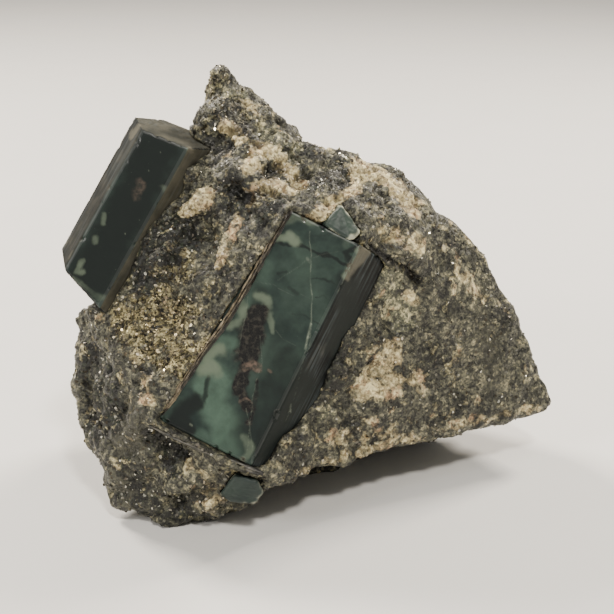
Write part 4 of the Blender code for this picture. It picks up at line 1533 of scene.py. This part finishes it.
# Patches and dents follow the rock's surface, in the frame's millimetres.
ROCK_PATCHES = (
    Patch(
        Mineral.FELDSPAR,
        3.4,
        1.25,
        (
            (-19.5, -8.3, 102.8),
            (-16.2, -1.2, 105.5),
            (-12.5, -0.9, 103.4),
            (-7.5, -3.7, 99.6),
            (-5.2, -7.1, 96.3),
            (-10.0, -12.7, 97.2),
            (-14.8, -14.3, 99.0),
        ),
    ),
    # Painted shade: darkens the hollow of the dent along the same line.
    Patch(Mineral.DARK_MICA_AND_SHADE, 1.9, 0.9, ((-13.1, -10.4, 101.5), (-11.5, -7.9, 101.0))),
    Patch(Mineral.FELDSPAR, 2.8, 0.95, ((-27.6, 4.9, 111.9), (-25.1, 2.2, 111.3), (-22.7, 0.8, 109.8))),
    Patch(Mineral.FELDSPAR, 3.0, 1.3, ((-37.8, -7.4, 88.5), (-34.6, -10.2, 91.7), (-31.6, -10.9, 94.3))),
    Patch(Mineral.FELDSPAR, 1.9, 0.95, ((-22.2, -17.6, 89.1), (-25.2, -20.6, 83.2), (-28.3, -24.3, 77.5))),
    Patch(Mineral.FELDSPAR, 1.6, 0.8, ((-18.7, -15.9, 95.6), (-19.9, -16.6, 93.2))),
    Patch(
        Mineral.FELDSPAR,
        2.6,
        1.35,
        ((-0.6, -20.7, 91.1), (2.8, -16.2, 92.8), (6.3, -12.7, 94.2), (11.7, -7.2, 95.4)),
    ),
    Patch(
        Mineral.FELDSPAR,
        5.0,
        1.3,
        ((13.3, 5.0, 98.6), (18.6, 4.2, 96.7), (23.7, 2.6, 93.4), (27.6, 1.5, 89.1)),
    ),
    Patch(Mineral.QUARTZ, 5.0, 0.9, ((-14.6, 3.7, 107.4), (-11.1, 2.7, 106.7), (-7.0, 5.9, 104.2))),
    Patch(Mineral.FELDSPAR, 1.8, 0.9, ((-18.9, 9.8, 115.1), (-21.1, 12.9, 116.3))),
    Patch(Mineral.FELDSPAR, 2.2, 1.0, ((26.4, -7.2, 63.8), (28.6, -6.9, 61.7))),
    Patch(
        Mineral.FELDSPAR,
        3.0,
        0.7,
        ((39.4, 3.4, 73.5), (42.0, 3.8, 68.3), (46.2, 3.6, 62.9), (49.5, 3.1, 56.9)),
    ),
    Patch(
        Mineral.FELDSPAR,
        4.2,
        1.05,
        (
            (23.7, -13.2, 49.1),
            (20.4, -14.7, 44.3),
            (15.6, -17.0, 40.1),
            (13.2, -20.1, 37.5),
            (22.4, -14.8, 37.2),
        ),
    ),
    Patch(Mineral.QUARTZ, 2.8, 0.85, ((0.6, -27.6, 31.0), (3.4, -26.0, 33.5))),
    Patch(Mineral.FELDSPAR, 2.6, 0.7, ((29.2, -11.2, 37.6), (32.5, -10.5, 32.7))),
    Patch(Mineral.FELDSPAR, 5.0, 0.52, ((5.1, -26.3, 24.2), (12.7, -22.0, 24.7), (20.3, -18.7, 25.1))),
    Patch(
        Mineral.FELDSPAR,
        2.2,
        0.62,
        (
            (-5.2, -34.6, 17.3),
            (3.7, -27.0, 17.3),
            (13.7, -21.8, 18.0),
            (28.0, -13.8, 19.2),
            (38.4, -10.2, 20.5),
        ),
    ),
    Patch(Mineral.FELDSPAR, 1.8, 0.6, ((38.4, -10.2, 20.5), (53.8, -1.3, 19.7), (70.8, 6.3, 19.3))),
    Patch(Mineral.QUARTZ, 5.0, 0.85, ((20.4, -11.3, 70.5), (23.1, -8.5, 61.7), (25.3, -9.3, 54.0))),
    Patch(Mineral.FELDSPAR, 4.0, 0.62, ((19.4, -12.8, 84.1), (24.6, -10.2, 81.5), (31.5, -5.2, 77.8))),
    Patch(
        Mineral.FELDSPAR,
        4.0,
        0.54,
        ((-36.7, -38.4, 21.2), (-32.2, -38.7, 14.9), (-27.7, -38.5, 13.5), (-32.7, -39.2, 8.6)),
    ),
    Patch(Mineral.FELDSPAR, 2.0, 0.8, ((-30.5, -39.7, 11.5), (-26.6, -39.0, 13.0))),
    Patch(Mineral.FELDSPAR, 3.2, 0.6, ((-51.7, -30.4, 54.4), (-49.5, -35.9, 50.0), (-47.2, -39.2, 43.8))),
    Patch(
        Mineral.GOLD_MICA,
        9.0,
        1.0,
        (
            (-52.5, -24.2, 60.6),
            (-46.7, -24.1, 61.8),
            (-39.9, -25.7, 63.0),
            (-41.2, -32.5, 56.8),
            (-47.7, -29.7, 57.2),
        ),
    ),
    Patch(Mineral.GOLD_MICA, 5.5, 0.5, ((-38.0, -21.0, 73.5), (-44.0, -21.9, 68.5), (-48.4, -20.3, 65.9))),
    Patch(Mineral.GOLD_MICA, 8.0, 0.45, ((-30.6, 15.2, 123.0), (-27.4, 9.5, 118.1), (-22.5, 7.6, 114.0))),
    Patch(Mineral.GOLD_MICA, 4.0, 0.8, ((-25.3, -28.2, 65.9), (-31.8, -33.8, 57.3), (-37.2, -38.2, 51.0))),
    Patch(Mineral.DARK_MICA_AND_SHADE, 6.0, 0.85, ((-0.5, -7.8, 98.2), (4.1, -5.8, 99.2), (9.0, 1.1, 98.4))),
    Patch(Mineral.DARK_MICA_AND_SHADE, 5.0, 0.9, ((-23.3, -15.0, 94.2), (-17.8, -19.8, 89.7), (-14.1, -19.2, 93.9))),
    Patch(
        Mineral.DARK_MICA_AND_SHADE,
        8.0,
        0.8,
        ((-67.8, -14.6, 44.9), (-61.6, -27.0, 42.1), (-57.8, -29.7, 35.5), (-64.3, -24.7, 26.7)),
    ),
    # Painted shade: darkens the hollow of the dent beside it.
    Patch(Mineral.DARK_MICA_AND_SHADE, 5.0, 0.85, ((-46.2, -39.2, 32.0), (-42.5, -36.5, 25.9), (-39.1, -37.1, 22.4))),
    Patch(Mineral.DARK_MICA_AND_SHADE, 5.0, 0.55, ((-58.3, -32.2, 7.5), (-51.1, -31.8, 3.9), (-43.4, -35.1, 3.7))),
    Patch(Mineral.DARK_MICA_AND_SHADE, 4.0, 0.9, ((-9.3, 5.2, 104.0), (-5.2, 6.3, 104.4), (-1.6, 3.7, 102.6))),
    # Painted shade: a dark strip along the crack, where the ledge above it casts its shadow.
    Patch(
        Mineral.DARK_MICA_AND_SHADE,
        1.3,
        1.4,
        ((9.0, -20.3, 86.0), (13.6, -18.6, 82.4), (19.1, -15.6, 77.8), (25.2, -10.6, 72.0)),
    ),
    Patch(Mineral.QUARTZ, 2.2, 1.2, ((-28.4, 12.9, 119.9), (-25.3, 11.6, 119.8), (-22.2, 14.0, 118.5))),
    Patch(Mineral.FELDSPAR, 1.6, 1.3, ((-19.4, 9.2, 115.5), (-17.8, 7.9, 114.6))),
    Patch(Mineral.DARK_MICA_AND_SHADE, 8.0, 1.2, ((-39.8, -12.1, 82.9), (-43.8, -17.4, 77.7), (-48.6, -16.4, 70.7))),
    # Painted shade: darkens the hollow of the dent on the same line.
    Patch(Mineral.DARK_MICA_AND_SHADE, 4.0, 0.75, ((-26.0, -12.0, 97.5), (-22.1, -14.2, 96.4), (-19.8, -16.1, 94.5))),
    Patch(Mineral.DARK_MICA_AND_SHADE, 6.0, 0.6, ((-54.4, -34.9, 18.7), (-48.9, -35.2, 10.7), (-40.0, -35.0, 6.0))),
    Patch(
        Mineral.DARK_MICA_AND_SHADE,
        5.0,
        0.7,
        ((10.0, -18.8, 56.0), (6.5, -23.3, 46.9), (3.6, -24.6, 41.0)),
    ),
    Patch(Mineral.DARK_MICA_AND_SHADE, 7.0, 0.4, ((27.8, -10.2, 49.5), (37.1, -5.4, 54.1), (34.2, -8.5, 40.7))),
    Patch(
        Mineral.FIBRE,
        5.5,
        1.0,
        ((-55.0, -37.4, 37.4), (-56.3, -34.8, 28.3), (-55.7, -34.8, 18.7), (-54.5, -33.0, 10.6)),
    ),
    Patch(Mineral.FIBRE, 4.0, 0.9, ((-51.6, -41.4, 38.3), (-52.7, -36.5, 27.6), (-51.8, -37.2, 19.9))),
    Patch(Mineral.FIBRE, 5.0, 0.5, ((52.0, -1.0, 52.0), (56.0, 0.5, 30.0))),
    Patch(Mineral.COMPACT, 34.0, 1.0, ((44.0, 0.0, 60.0), (36.0, -5.0, 35.0), (60.0, 3.0, 30.0))),
    Patch(
        Mineral.GRANULAR,
        12.0,
        1.0,
        (
            (-30.6, 15.2, 123.0),
            (-27.4, 9.5, 118.1),
            (-21.5, 7.1, 113.2),
            (-33.3, 6.7, 109.7),
            (-34.0, -4.0, 98.0),
        ),
    ),
    Patch(
        Mineral.GRANULAR,
        10.0,
        0.8,
        ((-12.0, -4.0, 102.0), (4.0, -4.0, 99.0), (20.0, 2.0, 95.0), (30.0, 1.0, 86.0)),
    ),
    Patch(Mineral.QUARTZ, 8.0, 0.30, ((-30.6, 15.2, 123.0), (-27.4, 9.5, 118.1), (-21.5, 7.1, 113.2))),
)

ROCK_DENTS = (
    Dent(1.6, 1.3, ((-25.3, 10.0, 118.3), (-23.2, 10.5, 117.6), (-21.0, 12.3, 116.4))),
    Dent(1.0, 0.6, ((-28.7, 14.3, 123.8), (-28.1, 14.1, 123.2))),
    Dent(1.8, 1.3, ((-11.5, 12.7, 109.6), (-10.0, 14.0, 108.4))),
    Dent(2.4, 1.8, ((-33.8, 6.7, 110.3), (-33.0, 6.2, 108.0), (-32.4, 5.5, 105.8))),
    Dent(1.4, 0.9, ((-11.0, 1.7, 105.5), (-8.5, 1.2, 102.6), (-6.0, 0.4, 100.3))),
    Dent(2.4, 1.8, ((-14.5, -11.2, 102.0), (-12.1, -4.2, 101.2), (-8.9, -2.9, 100.0))),
    Dent(1.8, 2.2, ((-15.8, -15.6, 97.3), (-12.1, -17.8, 96.7), (-7.9, -16.2, 95.7))),
    Dent(2.6, 2.6, ((-24.7, -12.6, 97.7), (-22.1, -14.2, 96.4), (-19.8, -16.1, 94.5))),
    Dent(2.2, 2.0, ((-69.6, -14.8, 36.8), (-67.4, -16.4, 34.3), (-68.6, -17.9, 30.0))),
    Dent(3.0, 2.2, ((-44.7, -39.4, 31.5), (-42.1, -38.0, 28.3), (-38.9, -37.1, 25.6))),
    Dent(6.0, -2.8, ((-9.0, 4.0, 104.0), (-5.1, 3.6, 102.0), (0.5, 6.3, 101.8))),
    Dent(6.0, -1.2, ((-60.0, -30.0, 4.5), (-54.0, -33.0, 4.0), (-47.0, -34.5, 4.0))),
    Dent(
        1.3,
        2.7,
        (
            (9.0, -20.3, 86.0),
            (13.6, -18.6, 82.4),
            (19.1, -15.6, 77.8),
            (25.2, -10.6, 72.0),
            (30.7, -6.2, 66.2),
        ),
    ),
    Dent(
        4.0,
        -2.6,
        ((-34.2, -10.5, 91.5), (-37.1, -7.9, 87.8), (-40.5, -10.6, 84.0), (-45.3, -17.6, 76.5)),
    ),
    Dent(4.0, -2.0, ((-45.3, -17.6, 76.5), (-50.0, -16.7, 69.2), (-55.7, -19.5, 64.1))),
)


# The mica edges run across and along the front crystal's polished face, in millimetres.
LEFT_EDGE_LINE = (
    (-9.6, 35.0),
    (-10.4, 24.0),
    (-10.7, 14.5),
    (-11.2, 4.8),
    (-12.2, -4.5),
    (-13.6, -12.0),
    (-14.9, -21.4),
    (-16.4, -33.5),
)
FOOT_BAR_LINE = ((-19.8, -37.4), (-10.2, -37.4), (1.9, -36.9), (9.0, -36.4), (17.0, -35.9))

# Their sections go out from the line and up from the polished face, in millimetres.
LEFT_EDGE_PROFILE = (
    (0.7, -1.5),
    (0.62, 0.8),
    (0.42, 1.7),
    (0.1, 1.9),
    (-0.12, 1.2),
    (-0.4, 1.5),
    (-0.7, 1.3),
    (-0.95, 0.5),
    (-1.3, 0.4),
    (-1.5, -1.5),
)
FOOT_BAR_PROFILE = (
    (0.75, -2.0),
    (0.78, 1.0),
    (0.5, 1.7),
    (0.2, 1.75),
    (0.0, 1.4),
    (-0.25, 1.75),
    (-0.6, 1.5),
    (-0.8, 0.8),
    (-0.8, -2.0),
)


def report(piece: bpy.types.Object) -> None:
    """Logs a finished piece and its number of faces."""
    log.info("%s: %d faces", piece.name, len(piece.data.polygons))


def main() -> None:
    """Builds every piece in order and reports it."""
    logging.basicConfig(level=logging.INFO, format="%(message)s")
    # Left alone, Blender seeds its noise vectors from the clock.
    noise.seed_set(NOISE_SEED)
    emerald = EmeraldFinish("emerald_polished")
    ground = EmeraldFinish("emerald_ground", mist=(0.128, 0.120, 0.090), shine=0.15)
    front = Crystal(
        node="emerald_front",
        piece="front_crystal",
        centre=(-14.62, -32.27, 60.3),
        axis=(0.446, 0.306, 0.841),
        across=(0.895, -0.152, -0.419),
        face=(0.0, -0.94, 0.342),
        strokes=FRONT_STROKES,
        finish=emerald,
        ground_finish=ground,
    )
    side = Crystal(
        node="emerald_side",
        piece="side_crystal",
        centre=(-55.42, -9.27, 89.3),
        axis=(0.485, 0.299, 0.822),
        across=(0.875, -0.166, -0.456),
        face=(-0.031, -0.933, 0.358),
        strokes=SIDE_STROKES,
        finish=emerald,
        ground_finish=ground,
        step=0.42,
        hidden_below=-2.0,
        chip=0.35,
        grey_faces=(
            ((0.341, -0.003, 0.94), 0.50),
            ((-0.772, -0.295, 0.563), 0.30),
            # Painted light: extra mist lightens the right face, which lies in the rock's shade.
            ((0.742, -0.639, -0.205), 0.62),
        ),
    )
    for crystal in (front, side):
        report(crystal.build())
    green = EmeraldFinish("emerald_rough", gloss=0.34, mist=(0.44, 0.45, 0.34), shine=0.3)
    chips = (
        Chip("emerald_upper_chip", "upper_chip", green, (0.74, 1.00)),
        Chip("emerald_lower_chip", "lower_chip", green, (0.86, 1.10)),
    )
    for chip in chips:
        report(chip.build())
    rock = Matrix(crystals=[front, side], patches=ROCK_PATCHES, dents=ROCK_DENTS).build()
    report(rock)
    scatters = (
        Scatter(
            piece="mica_flakes",
            density_name="glitter",
            density=0.95e6,
            smallest=0.20,
            largest=0.62,
            stretch=(1.2, 1.1, 1.0),
            lift=0.04,
            tilt=0.85,
            seed=3,
            material=MicaFinish().material(),
            plates=True,
        ),
        Scatter(
            piece="mineral_grains",
            density_name="crumble",
            density=0.16e6,
            smallest=0.25,
            largest=0.62,
            stretch=(1.3, 1.2, 0.8),
            lift=-0.12,
            tilt=3.1,
            seed=5,
            material=GrainFinish().material(),
            plates=False,
        ),
    )
    for scatter in scatters:
        report(scatter.build(rock))
    edges = (
        MicaSheets(
            crystal=front,
            piece="left_mica_edge",
            finish=EdgeFinish(
                name="brown_mica_edge",
                dark=(0.012, 0.011, 0.010),
                middle=(0.055, 0.046, 0.034),
                pale=(0.300, 0.245, 0.160),
            ),
            line=LEFT_EDGE_LINE,
            profile=LEFT_EDGE_PROFILE,
            pale_run=(61.0, 65.5),
        ),
        MicaSheets(
            crystal=front,
            piece="foot_mica_bar",
            finish=EdgeFinish(
                name="grey_mica_edge",
                dark=(0.010, 0.010, 0.010),
                middle=(0.030, 0.030, 0.027),
                pale=(0.150, 0.140, 0.115),
            ),
            line=FOOT_BAR_LINE,
            profile=FOOT_BAR_PROFILE,
        ),
    )
    for edge in edges:
        report(edge.build())
    Studio().build()


if __name__ == "__main__":
    main()
